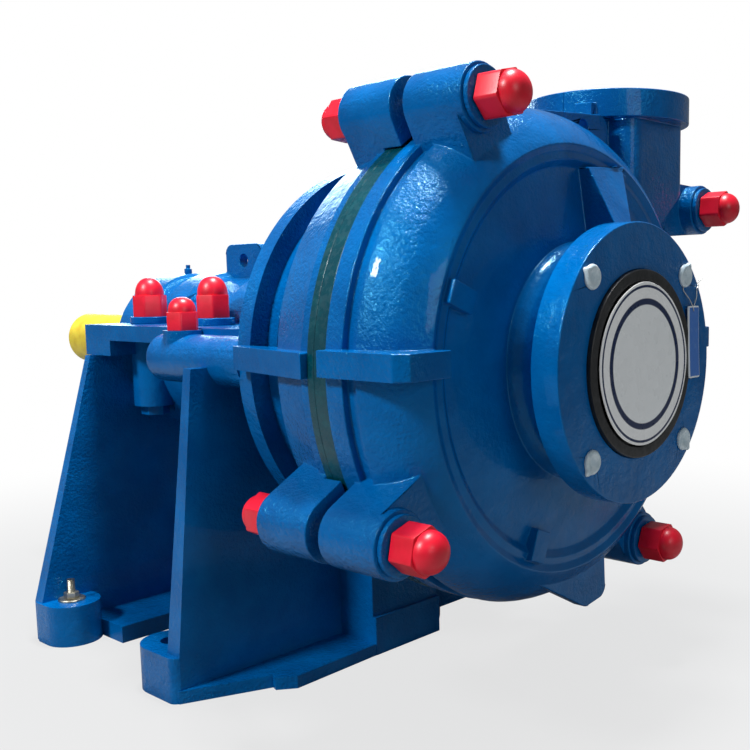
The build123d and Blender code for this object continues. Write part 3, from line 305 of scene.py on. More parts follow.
@dataclass(frozen=True)
class CastPaint:
    """Glossy enamel sprayed thickly over a sand casting, finer on the suction bowl."""

    shaft_height: float
    name: str = "enamel_on_casting"
    bowl_start: float = 0.485
    bowl_radius: float = 0.255
    bowl_edge: float = 0.02
    deep: Colour = colour(0.0, 0.082, 0.285)
    bright: Colour = colour(0.0, 0.118, 0.38)
    sand_scale: float = 210.0
    sand_depth: float = 0.0024
    swell_scale: float = 42.0
    swell_depth: float = 0.0014
    glint: Colour = colour(0.08, 0.72, 1.0)

    def build(self) -> Material:
        """Make the material: slow swells, sand grain in patches, a cloudy tone, and painted shade
        in the hollows of the grain.
        """
        graph = Graph(self.name)
        swell = graph.noise(self.swell_scale, 2.0, 0.45)
        grain = graph.noise(self.sand_scale, 3.0, 0.62)
        x, y, z = graph.parts_of(graph.moved((self.bowl_start, 0, self.shaft_height)))
        radius = (y * y + z * z).root()
        inside = radius.ramp(self.bowl_radius, self.bowl_radius + self.bowl_edge, 1.0, 0.0)
        bowl = x.ramp(0.0, self.bowl_edge) * inside
        patches = graph.noise(9.0, 2.0, 0.5).ramp(0.38, 0.62, 0.4, 1.0) * (1 - bowl * 0.6)
        peel = graph.noise(820.0, 1.0, 0.4)
        coarse = graph.bump(swell, self.swell_depth)
        sand = graph.bump(grain * patches, self.sand_depth, coarse)
        skin = graph.bump(peel, 0.00005, sand)
        tone = graph.noise(14.0, 3.0, 0.55).ramp(0.3, 0.72)
        # Painted shade: the hollows of the sand grain are painted darker, towards the deep
        # colour.
        pits = grain.ramp(0.30, 0.46, 0.55, 0.0)
        base = graph.blend(tone, self.deep, self.bright)
        shaded = graph.blend(pits * 0.6, base, self.deep)
        return graph.surface(
            Base_Color=shaded, Roughness=graph.uneven(0.12, 0.24, 70.0, 2.0, 0.6), Normal=skin,
            Coat_Weight=0.15, Coat_Roughness=0.04, Specular_IOR_Level=0.4,
            Specular_Tint=self.glint,
        )


@dataclass(frozen=True)
class MouldedPlastic:
    """Smooth moulded plastic with faint flow marks."""

    name: str
    tint: Colour
    shade: Colour
    roughness: float = 0.3
    subsurface: float = 0.0

    def build(self) -> Material:
        """Make the material: a soft change of tone, and a skin with very low bumps."""
        graph = Graph(self.name)
        tone = graph.noise(45.0, 2.0, 0.5).ramp(0.35, 0.7)
        base = graph.blend(tone, self.tint, self.shade)
        scuffs = graph.noise(160.0, 4.0, 0.7).ramp(0.56, 0.74, 0.0, 0.25)
        skin = graph.bump(graph.noise(420.0), 0.00004)
        return graph.surface(
            Base_Color=base, Roughness=scuffs + self.roughness, Normal=skin,
            Subsurface_Weight=self.subsurface, Subsurface_Radius=(0.004, 0.001, 0.001),
            Specular_IOR_Level=0.5,
        )


@dataclass(frozen=True)
class Rubber:
    """Moulded rubber, matt with a slight bloom."""

    name: str
    tint: Colour
    bloom: Colour
    roughness: float = 0.5

    def build(self) -> Material:
        """Make the material: bloom in clouds, and a fine moulded grain."""
        graph = Graph(self.name)
        clouds = graph.noise(60.0, 4.0, 0.6).ramp(0.45, 0.75)
        base = graph.blend(clouds * 0.6, self.tint, self.bloom)
        rough = graph.uneven(self.roughness - 0.1, self.roughness + 0.15, 150.0)
        low = graph.bump(graph.noise(90.0), 0.0003)
        grain = graph.bump(graph.noise(900.0), 0.00005, low)
        return graph.surface(Base_Color=base, Roughness=rough, Normal=grain)


@dataclass(frozen=True)
class TurnedSteel:
    """Bare or plated steel with turning or rolling marks."""

    name: str
    tint: Colour
    dull: Colour
    lowest: float = 0.25
    highest: float = 0.45
    metal: float = 1.0

    def build(self) -> Material:
        """Make the material: marks close together along the shaft, and dull patches."""
        graph = Graph(self.name)
        stretched = graph.moved((0, 0, 0), (900, 60, 60))
        marks = graph.noise(1.0, 2.0, 0.6, vector=stretched)
        patches = graph.noise(40.0, 3.0, 0.6).ramp(0.4, 0.7)
        base = graph.blend(patches, self.tint, self.dull)
        rough = graph.uneven(self.lowest, self.highest, 55.0, 3.0, 0.6)
        return graph.surface(
            Base_Color=base, Roughness=rough, Metallic=self.metal,
            Normal=graph.bump(marks, 0.00004),
        )


@dataclass(frozen=True)
class WearIron:
    """Hard white iron, left as it came from the mould."""

    name: str = "white_iron_as_cast"

    def build(self) -> Material:
        """Make the material: a grey skin with sand pits and rusty clouds."""
        graph = Graph(self.name)
        clouds = graph.noise(35.0, 4.0, 0.65).ramp(0.5, 0.78)
        base = graph.blend(clouds, colour(0.16, 0.16, 0.17), colour(0.2, 0.13, 0.08))
        pits = graph.bump(graph.noise(260.0, 3.0, 0.65), 0.0005)
        return graph.surface(Base_Color=base, Roughness=graph.uneven(0.5, 0.75, 80.0),
                             Metallic=0.6, Normal=pits)


@dataclass(frozen=True)
class BraidedPacking:
    """Square braided packing round the shaft sleeve."""

    name: str = "braided_packing"

    def build(self) -> Material:
        """Make the material: diamonds of crossing strands, painted darker in the grooves between
        them as painted shade.
        """
        graph = Graph(self.name)
        points = graph.node("ShaderNodeTexVoronoi", None,
                            {"Vector": graph.place(), "Scale": 340.0})
        strands = Signal(graph, points.outputs["Distance"])
        # Painted shade: the grooves between the strands are painted darker.
        base = graph.blend(strands.ramp(0.1, 0.6), colour(0.34, 0.31, 0.24),
                           colour(0.16, 0.14, 0.1))
        return graph.surface(Base_Color=base, Roughness=0.85,
                             Normal=graph.bump(1 - strands, 0.0008))


@dataclass(frozen=True)
class PrintedDisc:
    """White closing disc with two printed rings near its rim."""

    shaft_height: float
    name: str = "printed_disc"
    rings: Tuple[Tuple[float, float], ...] = ((0.0838, 0.0014), (0.0675, 0.0034))
    soft: float = 0.2
    ink: Colour = colour(0.006, 0.018, 0.075)
    board: Colour = colour(0.98, 0.98, 0.98)
    # Painted shade: the middle of the board is greyer than its rim.
    middle: Colour = colour(0.93, 0.95, 0.96)

    def build(self) -> Material:
        """Make the material: distance from the shaft line picks out each ring, and a greyer
        middle as painted shade.
        """
        graph = Graph(self.name)
        _, y, z = graph.parts_of(graph.moved((0, 0, self.shaft_height)))
        radius = (y * y + z * z).root()
        ink = None
        for centre, half in self.rings:
            ring = abs(radius - centre).ramp(half * (1 - self.soft), half * (1 + self.soft), 1, 0)
            ink = ring if ink is None else ink + ring
        grime = graph.noise(30.0, 4.0, 0.6).ramp(0.55, 0.8, 0.0, 0.25)
        # Painted shade: inside the printed rings the board turns to the greyer middle colour.
        plain = graph.blend(radius.ramp(0.064, 0.069), self.middle, self.board)
        board = graph.blend(grime * 0.4, plain, colour(0.55, 0.56, 0.56))
        base = graph.blend(ink, board, self.ink)
        return graph.surface(Base_Color=base, Roughness=graph.uneven(0.22, 0.36, 50.0),
                             Normal=graph.bump(graph.noise(25.0, 1.0, 0.5), 0.00012))


@dataclass(frozen=True)
class ClearPlastic:
    """Milky see-through plastic of the hole plugs."""

    name: str = "milky_plug"

    def build(self) -> Material:
        """Make the material: milky body with cloudy thickness."""
        graph = Graph(self.name)
        cloud = graph.noise(120.0, 3.0, 0.6).ramp(0.35, 0.7)
        base = graph.blend(cloud, colour(0.5, 0.62, 0.69), colour(0.68, 0.77, 0.82))
        rough = graph.uneven(0.25, 0.45, 200.0, 2.0, 0.6)
        return graph.surface(Base_Color=base, Roughness=rough, Subsurface_Weight=0.3,
                             Subsurface_Radius=(0.004, 0.004, 0.004),
                             Normal=graph.bump(graph.noise(300.0), 0.00006))


def finishes(shaft_height: float) -> Dict[Slot, Any]:
    """The finish of each slot of the record, with the shaft line's height in metres."""
    return {
        Slot.PAINT: CastPaint(shaft_height),
        Slot.CAP: MouldedPlastic("red_cap_plastic", colour(0.76, 0.006, 0.03),
                                 colour(0.64, 0.004, 0.02), 0.36, 0.06),
        Slot.LINER: Rubber("teal_liner", colour(0.0, 0.045, 0.065), colour(0.0, 0.08, 0.1), 0.24),
        Slot.SEAL: Rubber("black_seal", colour(0.006, 0.006, 0.007),
                          colour(0.025, 0.025, 0.025), 0.38),
        Slot.ZINC: TurnedSteel("zinc_plate", colour(0.52, 0.52, 0.48),
                               colour(0.36, 0.36, 0.33)),
        Slot.WEAR: WearIron(),
        Slot.PACKING: BraidedPacking(),
        Slot.DISC: PrintedDisc(shaft_height),
        Slot.SLEEVE: MouldedPlastic("yellow_sleeve_plastic", colour(0.72, 0.56, 0.05),
                                    colour(0.6, 0.43, 0.03), 0.38, 0.05),
        Slot.STEEL: TurnedSteel("turned_steel", colour(0.5, 0.5, 0.49),
                                colour(0.4, 0.4, 0.39), 0.2, 0.36),
    }


# Meshes


def grid_mesh(name: str, points: Array, close_u: bool = False, close_v: bool = True) -> Object:
    """Mesh from a grid of points, or from several grids of one shape.

    Args:
        name: name of the new object.
        points: array of shape (rows, columns, 3) or (copies, rows, columns, 3), in metres.
        close_u: whether the last row joins the first.
        close_v: whether the last column joins the first.

    Returns:
        The new object, with doubled points merged.
    """
    grids = points if points.ndim == 4 else points[None]
    copies, rows, columns = grids.shape[:3]
    u = np.arange(rows if close_u else rows - 1)
    v = np.arange(columns if close_v else columns - 1)
    grid_u, grid_v = np.meshgrid(u, v, indexing="ij")
    next_u, next_v = (grid_u + 1) % rows, (grid_v + 1) % columns
    corners = [grid_u * columns + grid_v, next_u * columns + grid_v,
               next_u * columns + next_v, grid_u * columns + next_v]
    first = np.arange(copies)[:, None, None] * rows * columns
    quads = (np.stack(corners, axis=-1).reshape(1, -1, 4) + first).reshape(-1, 4)
    mesh = bpy.data.meshes.new(name)
    mesh.from_pydata(grids.reshape(-1, 3).tolist(), [], quads.tolist())
    made = bpy.data.objects.new(name, mesh)
    bpy.context.scene.collection.objects.link(made)
    tidy_mesh(made)
    return made


def tidy_mesh(made: Object) -> None:
    """Merge doubled points, drop flat faces and turn the faces outwards.

    Args:
        made: the object whose mesh is tidied.
    """
    work = bmesh.new()
    work.from_mesh(made.data)
    bmesh.ops.remove_doubles(work, verts=work.verts, dist=MERGE_DISTANCE)
    bmesh.ops.dissolve_degenerate(work, edges=work.edges, dist=FLAT_FACE_EDGE)
    bmesh.ops.recalc_face_normals(work, faces=work.faces)
    work.to_mesh(made.data)
    work.free()


def smooth(made: Object, angle: float = 35.0) -> Object:
    """Shade smooth, except across edges sharper than an angle.

    Args:
        made: the object.
        angle: limit in degrees.

    Returns:
        The same object.
    """
    made.data.shade_smooth()
    made.data.set_sharp_from_angle(angle=math.radians(angle))
    return made


def circle_angles(count: int) -> Array:
    """Angles of points spaced evenly round a circle."""
    return np.linspace(0, 2 * np.pi, count, endpoint=False)


def around_shaft(x: Array, radius: Array, angle: Array, y: float, z: float) -> Array:
    """Points at a radius and an angle about the line along x through (y, z)."""
    return np.stack([x, y + radius * np.cos(angle), z + radius * np.sin(angle)], axis=-1)


def axes_about(direction: Sequence[float]) -> Tuple[Array, Array, Array]:
    """Two unit vectors square to a direction, and the direction itself.

    Args:
        direction: vector of any length.

    Returns:
        Side, up and along unit vectors.
    """
    along = np.asarray(direction, float)
    along = along / np.linalg.norm(along)
    helper = np.array(UP if abs(along[2]) < 0.9 else (0.0, 1.0, 0.0))
    side = np.cross(helper, along)
    side /= np.linalg.norm(side)
    return side, np.cross(along, side), along


def lathe(
    name: str,
    profile: Sequence[Tuple[float, float]],
    centre: Sequence[float],
    direction: Sequence[float],
    sides: int,
) -> Object:
    """Turn a profile: each point stands at centre + distance * direction, on a circle round it.

    Args:
        name: name of the new object.
        profile: (distance, radius) points from the back round to the front.
        centre: start of the axis.
        direction: the axis.
        sides: points on each circle.

    Returns:
        The new object.
    """
    side, up, along = axes_about(direction)
    rows = np.asarray(profile, float)
    angle = circle_angles(sides)
    ring = np.cos(angle)[:, None] * side + np.sin(angle)[:, None] * up
    points = (np.asarray(centre, float) + rows[:, 0, None, None] * along
              + rows[:, 1, None, None] * ring)
    return grid_mesh(name, points)


def round_bar(name: str, path: Array, radius: float, sides: int, closed: bool = False) -> Object:
    """Carry a circle along a path, square to its direction.

    Args:
        name: name of the new object.
        path: points of shape (count, 3).
        radius: radius in metres.
        sides: points on each circle.
        closed: whether the path runs back into its start; an open one gets closed ends.

    Returns:
        The new object.
    """
    if closed:
        tangent = np.roll(path, -1, axis=0) - np.roll(path, 1, axis=0)
    else:
        tangent = np.gradient(path, axis=0)
    tangent /= np.linalg.norm(tangent, axis=1)[:, None]
    helper = np.array([0.31, -0.52, 0.79])
    side = helper - tangent * (tangent @ helper)[:, None]
    side /= np.linalg.norm(side, axis=1)[:, None]
    up = np.cross(tangent, side)
    angle = circle_angles(sides)
    ring = np.cos(angle)[:, None] * side[:, None] + np.sin(angle)[:, None] * up[:, None]
    points = path[:, None] + radius * ring
    if closed:
        return grid_mesh(name, points, close_u=True)
    start, end = (np.repeat(tip[None, None], sides, axis=1) for tip in (path[0], path[-1]))
    return grid_mesh(name, np.concatenate([start, points, end], axis=0))


def dress(made: Object, material: Material) -> Object:
    """Give an object one material in every slot.

    Args:
        made: the object.
        material: the material.

    Returns:
        The same object.
    """
    if not made.material_slots:
        made.data.materials.append(material)
    for slot in made.material_slots:
        slot.material = material
    return made


# The camera, the light and the floor


@dataclass
class Studio:
    """Camera at the photograph's place, soft lamps and a pale floor."""

    position: Point = (1.2042, -0.9321, 0.4988)
    turn: float = 41.4
    dip: float = 7.1
    roll: float = -0.9
    lens: float = 47.58
    sensor: float = 36.0
    image_size: float = 750.0
    optical_centre: Tuple[float, float] = (462.5, 405.9)
    view_reach: float = 60.0
    lamp_aim: Point = (0.25, 0.0, 0.4)
    sky: Point = (0.62, 0.87, 1.0)
    room: Colour = colour(0.7, 0.9, 1.0)
    room_strength: float = 0.1
    mirrored_share: float = 0.15
    floor_reach: float = 14.0
    floor_middle: Point = (0.1, 0.0, 0.0)
    # Painted shade: grey of the glowing floor near the pump.
    painted_floor_shade: Colour = colour(0.89, 0.893, 0.897)
    floor_shade: Colour = colour(0.22, 0.22, 0.22)
    white: Colour = colour(1.0, 1.0, 1.0)

    def camera(self) -> None:
        """Add the camera: the optical centre gives its shift."""
        turn, dip, roll = (math.radians(v) for v in (self.turn, self.dip, self.roll))
        forward = Vector((-math.sin(turn) * math.cos(dip), math.cos(turn) * math.cos(dip),
                          -math.sin(dip)))
        level = Vector((math.cos(turn), math.sin(turn), 0))
        upright = level.cross(forward)
        right = math.cos(roll) * level + math.sin(roll) * upright
        top = -math.sin(roll) * level + math.cos(roll) * upright
        middle = self.image_size / 2
        data = configured(
            bpy.data.cameras.new("camera"), sensor_fit="HORIZONTAL", sensor_width=self.sensor,
            lens=self.lens, clip_end=self.view_reach,
            shift_x=(middle - self.optical_centre[0]) / self.image_size,
            shift_y=(self.optical_centre[1] - middle) / self.image_size,
        )
        made = bpy.data.objects.new("camera", data)
        pose = Matrix((right, top, -forward)).transposed().to_4x4()
        pose.translation = Vector(self.position)
        made.matrix_world = pose
        bpy.context.scene.collection.objects.link(made)
        bpy.context.scene.camera = made

    def lamp(
        self, name: str, place: Point, size: float, power: float, tint: Point = (1.0, 1.0, 1.0)
    ) -> None:
        """Add one square soft lamp that faces the pump.

        Args:
            name: name of the lamp.
            place: where it hangs.
            size: side length in metres.
            power: watts.
            tint: colour of its light.
        """
        data = configured(bpy.data.lights.new(name, "AREA"), color=tint, shape="SQUARE",
                          size=size, energy=power)
        made = bpy.data.objects.new(name, data)
        made.location = place
        sight = Vector(self.lamp_aim) - Vector(place)
        made.rotation_euler = sight.to_track_quat("-Z", "Y").to_euler()
        bpy.context.scene.collection.objects.link(made)

    def lamps(self) -> None:
        """Hang the lamps: near and high, overhead, in front, and a pale blue one behind."""
        self.lamp("key", (-0.2, -3.1, 2.8), size=0.55, power=135)
        self.lamp("behind", (-3.1, 2.4, 1.7), size=1.8, power=95, tint=self.sky)
        self.lamp("overhead", (0.3, 0.2, 3.6), size=0.6, power=215)
        self.lamp("front", (3.6, -0.9, 1.5), size=1.2, power=17)

    def world(self) -> None:
        """Soft light all round; the camera sees a white background, reflections a share of it."""
        graph = Graph("soft_room", world=True)
        path = graph.node("ShaderNodeLightPath")
        glossy, clear, camera = (Signal(graph, path.outputs[f"Is {kind} Ray"])
                                 for kind in ("Glossy", "Transmission", "Camera"))
        room = graph.node("ShaderNodeBackground", None, {0: self.room, 1: self.room_strength})
        view = graph.node("ShaderNodeBackground", None, {0: self.white, 1: 1.0})
        seen = glossy.larger(clear) * self.mirrored_share + camera
        mix = graph.node("ShaderNodeMixShader", None,
                         {0: seen, 1: room.outputs[0], 2: view.outputs[0]})
        bpy.context.scene.world = graph.close(mix)

    def floor(self) -> None:
        """Lay the floor: near the pump it takes real shadows and glows a grey painted shade, and
        it fades to white far away.
        """
        reach = self.floor_reach
        corners = np.array([[[-reach, -reach, 0], [-reach, reach, 0]],
                            [[reach, -reach, 0], [reach, reach, 0]]], float)
        made = grid_mesh("floor", corners, close_v=False)
        graph = Graph("pale_floor")
        x, y, _ = graph.parts_of(graph.moved(self.floor_middle))
        distance = (x * x + y * y).root()
        # Painted shade: the floor glows greyer near the pump and whiter far away.
        tone = graph.blend(distance.ramp(0.3, 1.7), self.painted_floor_shade, self.white)
        shadowed = graph.node("ShaderNodeBsdfDiffuse", None, {0: self.floor_shade})
        white = graph.node("ShaderNodeEmission", None, {0: tone, 1: 1.0})
        path = graph.node("ShaderNodeLightPath")
        cover = distance.ramp(0.4, 1.6, 0.83, 1.0)
        seen = Signal(graph, path.outputs["Is Camera Ray"]) * cover
        mix = graph.node("ShaderNodeMixShader", None,
                         {0: seen, 1: shadowed.outputs[0], 2: white.outputs[0]})
        dress(made, graph.close(mix))

    def build(self) -> None:
        """Set up the whole studio."""
        self.camera()
        self.lamps()
        self.world()
        self.floor()
        bpy.context.scene.view_settings.view_transform = "Standard"


# The pump


@dataclass
class Castings:
    """Every piece of the solid model, with its finish and its shading."""

    shaft_height: float
    flat_angle: float = 0.4
    edge_angle: float = 38.0
    edge_steps: int = 3
    edge_width: float = 0.0008
    wider_edges: Tuple[Tuple[float, Tuple[str, ...]], ...] = (
        (0.0015, ("base", "frame_plate", "cover_plate", "bearing_housing", "suction_joint_ring")),
        (0.0012, ("casing_washers", "clamp_washers")),
        (0.001, ("frame_plate_liner", "cover_plate_liner", "shaft_end_sleeve")),
    )
    face_weight: int = 60
    painted_bolts: Tuple[str, ...] = ("clamp_bolts", "rail_bolts")
    limited_nodes: Tuple[str, ...] = ("base",)

    def soften(self, node: Object, width: float) -> None:
        """Join the triangles, round the edges and shade flat faces flat.

        Args:
            node: the solid model's object.
            width: size of the rounded edge in metres.
        """
        node.data.shade_smooth()
        add = node.modifiers.new
        limited = node.name in self.limited_nodes
        configured(add("join_triangles", "WELD"), merge_threshold=MERGE_DISTANCE)
        configured(add("join_flat_faces", "DECIMATE"), decimate_type="DISSOLVE",
                   angle_limit=math.radians(self.flat_angle))
        if not limited:
            configured(add("well_shaped_triangles", "TRIANGULATE"), ngon_method="BEAUTY")
        configured(add("rounded_edges", "BEVEL"), limit_method="ANGLE",
                   angle_limit=math.radians(self.edge_angle), width=width,
                   segments=self.edge_steps, use_clamp_overlap=limited)
        configured(add("flat_faces", "WEIGHTED_NORMAL"), weight=self.face_weight,
                   keep_sharp=False)

    def build(self) -> Dict[str, Material]:
        """Give each node the material of its slot, and the stand's bolts that of the paint.

        Returns:
            The material of each slot.
        """
        kinds = finishes(self.shaft_height)
        made = {slot.value: finish.build() for slot, finish in kinds.items()}
        slot_of = {entry["node"]: entry["material_slot"] for entry in frame["record"]["subparts"]}
        slot_of.update({name: Slot.PAINT.value for name in self.painted_bolts})
        width_of = {name: width for width, names in self.wider_edges for name in names}
        for name, node in frame["nodes"].items():
            dress(node, made[slot_of[name]])
            self.soften(node, width_of.get(name, self.edge_width))
        LOG.info("castings: %d nodes in %d finishes", len(frame["nodes"]), len(made))
        return made


@dataclass
class MouldedCaps:
    """Plastic caps pressed over nuts: a six-sided skirt, a small shelf and a wide round nose."""

    node: str
    seats: Tuple[Point, ...]
    directions: Tuple[Point, ...]
    turns: Tuple[float, ...]
    across: float
    skirt: float
    height: float
    socket_radius: float
    socket_depth: float
    nose_share: float = 0.96
    nose_wall: float = 0.0015
    nose_power: float = 0.9
    chamfer: float = 0.0003
    corner_power: float = 40.0
    sides: int = 96

    def profile(self) -> Array:
        """Outline of one cap, from its socket over the skirt and the shelf to the nose.

        Returns:
            Rows of (distance, radius, share of the circle in the cross section).
        """
        flat = self.across / 2
        nose = flat * self.nose_share
        quarter = np.linspace(0, np.pi / 2, 12)
        start = self.skirt + self.nose_wall
        dome = np.stack([start + (self.height - start) * np.sin(quarter),
                         nose * np.cos(quarter) ** self.nose_power,
                         np.ones_like(quarter)], axis=-1)
        lower = np.array([
            (self.socket_depth, 0.0, 1), (self.socket_depth, self.socket_radius, 1),
            (0.0, self.socket_radius, 1), (0.0, flat - self.chamfer, 0),
            (self.chamfer, flat, 0), (self.skirt - self.chamfer, flat, 0),
            (self.skirt - self.chamfer * 0.3, flat - self.chamfer * 0.3, 0),
            (self.skirt, flat - self.chamfer, 0), (self.skirt, nose, 1),
        ])
        return np.concatenate([lower, dome])

    def surface(self, turn: float) -> Tuple[Array, Array, Array]:
        """One cap on its own axis.

        Six faces stand at distance 1; the radius of their rounded hexagon is the power mean
        (sum of cos(angle to face) ** n) ** (-1 / n), which a row's share blends towards 1.

        Args:
            turn: angle of the first corner, in degrees.

        Returns:
            Distances along the axis, and both coordinates across it.
        """
        rows = self.profile()
        angle = circle_angles(self.sides)
        faces = np.radians(turn + 30 + 60 * np.arange(6))
        near = np.maximum(np.cos(angle[:, None] - faces), 0)
        hexagon = (near**self.corner_power).sum(axis=1) ** (-1 / self.corner_power)
        share = rows[:, 2, None]
        radius = rows[:, 1, None] * (share + (1 - share) * hexagon)
        along = np.broadcast_to(rows[:, 0, None], radius.shape)
        return along, radius * np.cos(angle), radius * np.sin(angle)

    def build(self, material: Material) -> None:
        """Make all caps of one kind as one piece, in place of the solid model's.

        Args:
            material: finish of the caps.
        """
        grids = []
        for seat, direction, turn in zip(self.seats, self.directions, self.turns):
            side, up, axis = axes_about(direction)
            along, across, rise = self.surface(turn)
            grids.append(np.asarray(seat) + along[..., None] * axis + across[..., None] * side
                         + rise[..., None] * up)
        made = grid_mesh(f"moulded_{self.node}", np.stack(grids))
        smooth(dress(made, material), 30)
        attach(made, "frame")
        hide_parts(self.node)
        LOG.info("%s: %d", self.node, len(self.seats))


@dataclass
class ClosingBoard:
    """Thin printed board over the suction opening, whose rim is a little wavy."""

    seal_x: float
    shaft_height: float
    gap: float = 0.0002
    radius: float = 0.0882
    thickness: float = 0.0016
    wave: float = 0.0005
    node: str = "suction_cover_disc"
    sides: int = 160

    def surface(self) -> Array:
        """Points of the board: flat faces whose rim waves.

        At angle a the rim's radius grows by wave * (sin 5a + sin(8a + 1)) / 2, and the board
        bends forward by wave * (1 + sin(3a + 2)) times the fourth power of its share of the
        radius.

        Returns:
            Array of shape (rows, sides, 3).
        """
        edge = self.thickness * 0.3
        rim = 1 - edge / self.radius
        inner = np.linspace(0, 0.96, 8)
        rows = np.concatenate([
            np.stack([np.zeros(8), inner], axis=-1),
            [(0.0, rim), (edge, 1.0), (self.thickness - edge, 1.0), (self.thickness, rim)],
            np.stack([np.full(8, self.thickness), inner[::-1]], axis=-1),
        ])
        angle = circle_angles(self.sides)
        ripple = self.wave * (np.sin(5 * angle) + np.sin(8 * angle + 1)) / 2
        radius = rows[:, 1, None] * (self.radius + ripple)
        forward = self.wave * (1 + np.sin(3 * angle + 2)) * rows[:, 1, None] ** 4
        x = self.seal_x + self.gap + rows[:, 0, None] + forward
        return around_shaft(x, radius, angle, 0.0, self.shaft_height)

    def build(self, material: Material) -> None:
        """Make the board in place of the solid model's disc.

        Args:
            material: finish of the board.
        """
        made = grid_mesh("closing_board", self.surface())
        smooth(dress(made, material), 40)
        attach(made, "frame")
        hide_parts(self.node)
        LOG.info("closing board: radius %.1f mm", self.radius * 1000)


@dataclass
class HolePlugs:
    """Milky plugs pushed into the holes of the suction flange."""

    face_x: float
    shaft_height: float
    circle: float
    hole: float
    head_radius: float = 0.0132
    head_height: float = 0.0045
    stem: float = 0.02
    tab_reach: float = 0.0042
    tab_spread: float = 0.24
    tab_angles: Tuple[float, ...] = (60.0, 150.0, 230.0, -55.0)
    sides: int = 64

    def profile(self) -> List[Tuple[float, float]]:
        """Outline of one plug: a stem, a flared head with a rounded rim and a dished middle.

        Returns:
            (distance, radius) points from the end of the stem to the middle of the head.
        """
        stem, hole, head, height = self.stem, self.hole, self.head_radius, self.head_height
        return [
            (-stem, 0.0), (-stem, hole * 0.82), (-stem + 0.002, hole * 0.9),
            (-0.0006, hole * 0.985), (0.0002, hole * 0.985), (0.0002, head * 0.97),
            (0.0012, head), (height * 0.6, head * 0.97), (height, head * 0.84),
            (height * 0.98, head * 0.66), (height * 0.62, head * 0.52),
            (height * 0.5, head * 0.2), (height * 0.5, 0.0),
        ]

    def surface(self, centre: Sequence[float], tab_angle: float) -> Array:
        """Points of one plug: each ring of the profile, whose head swells at the pull tab.

        The radius of the head grows by the tab's reach times a bell curve of the angle from
        the tab.

        Args:
            centre: middle of the hole's mouth.
            tab_angle: where the pull tab is, in radians.

        Returns:
            Array of shape (rows, sides, 3).
        """
        rows = np.asarray(self.profile(), float)
        angle = circle_angles(self.sides)
        away = (angle - tab_angle + np.pi) % (2 * np.pi) - np.pi
        bell = self.tab_reach * np.exp(-((away / self.tab_spread) ** 2))
        on_head = (rows[:, 0] > 0) & (rows[:, 1] > 0.8 * self.head_radius)
        radius = rows[:, 1, None] + on_head[:, None] * bell
        x = np.broadcast_to(rows[:, 0, None], radius.shape) + centre[0]
        return around_shaft(x, radius, angle, centre[1], centre[2])

    def build(self) -> None:
        """Make one plug in each of the four holes."""
        material = ClearPlastic().build()
        for index, tab_angle in enumerate(self.tab_angles):
            angle = math.radians(45 + 90 * index)
            centre = (self.face_x, self.circle * math.cos(angle),
                      self.shaft_height + self.circle * math.sin(angle))
            points = self.surface(centre, math.radians(tab_angle))
            made = grid_mesh(f"hole_plug_{index + 1}", points)
            smooth(dress(made, material), 50)
            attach(made, "frame")
        LOG.info("hole plugs: %d", len(self.tab_angles))


@dataclass(frozen=True)
class TagCard:
    """Blue card with a pale border, left blank."""

    centre: Point
    half_width: float
    half_height: float
    border: float = 0.0018
    shift: float = 0.0014
    soft: float = 0.0002
    name: str = "blank_tag_card"

    def build(self) -> Material:
        """Make the material: distance from the card's edges picks out the border."""
        graph = Graph(self.name)
        _, y, z = graph.parts_of(graph.moved(self.centre))
        wide, tall = self.half_width - self.border, self.half_height - self.border
        side = abs(y - self.shift).ramp(wide - self.soft, wide + self.soft)
        end = abs(z).ramp(tall - self.soft, tall + self.soft)
        wear = graph.noise(160.0, 4.0, 0.6).ramp(0.5, 0.75, 0.0, 0.3)
        print_ink = graph.blend(wear, colour(0.045, 0.17, 0.55), colour(0.2, 0.36, 0.66))
        base = graph.blend(side + end, print_ink, colour(0.78, 0.83, 0.88))
        return graph.surface(Base_Color=base, Roughness=graph.uneven(0.28, 0.42, 90.0),
                             Normal=graph.bump(graph.noise(70.0), 0.0004))


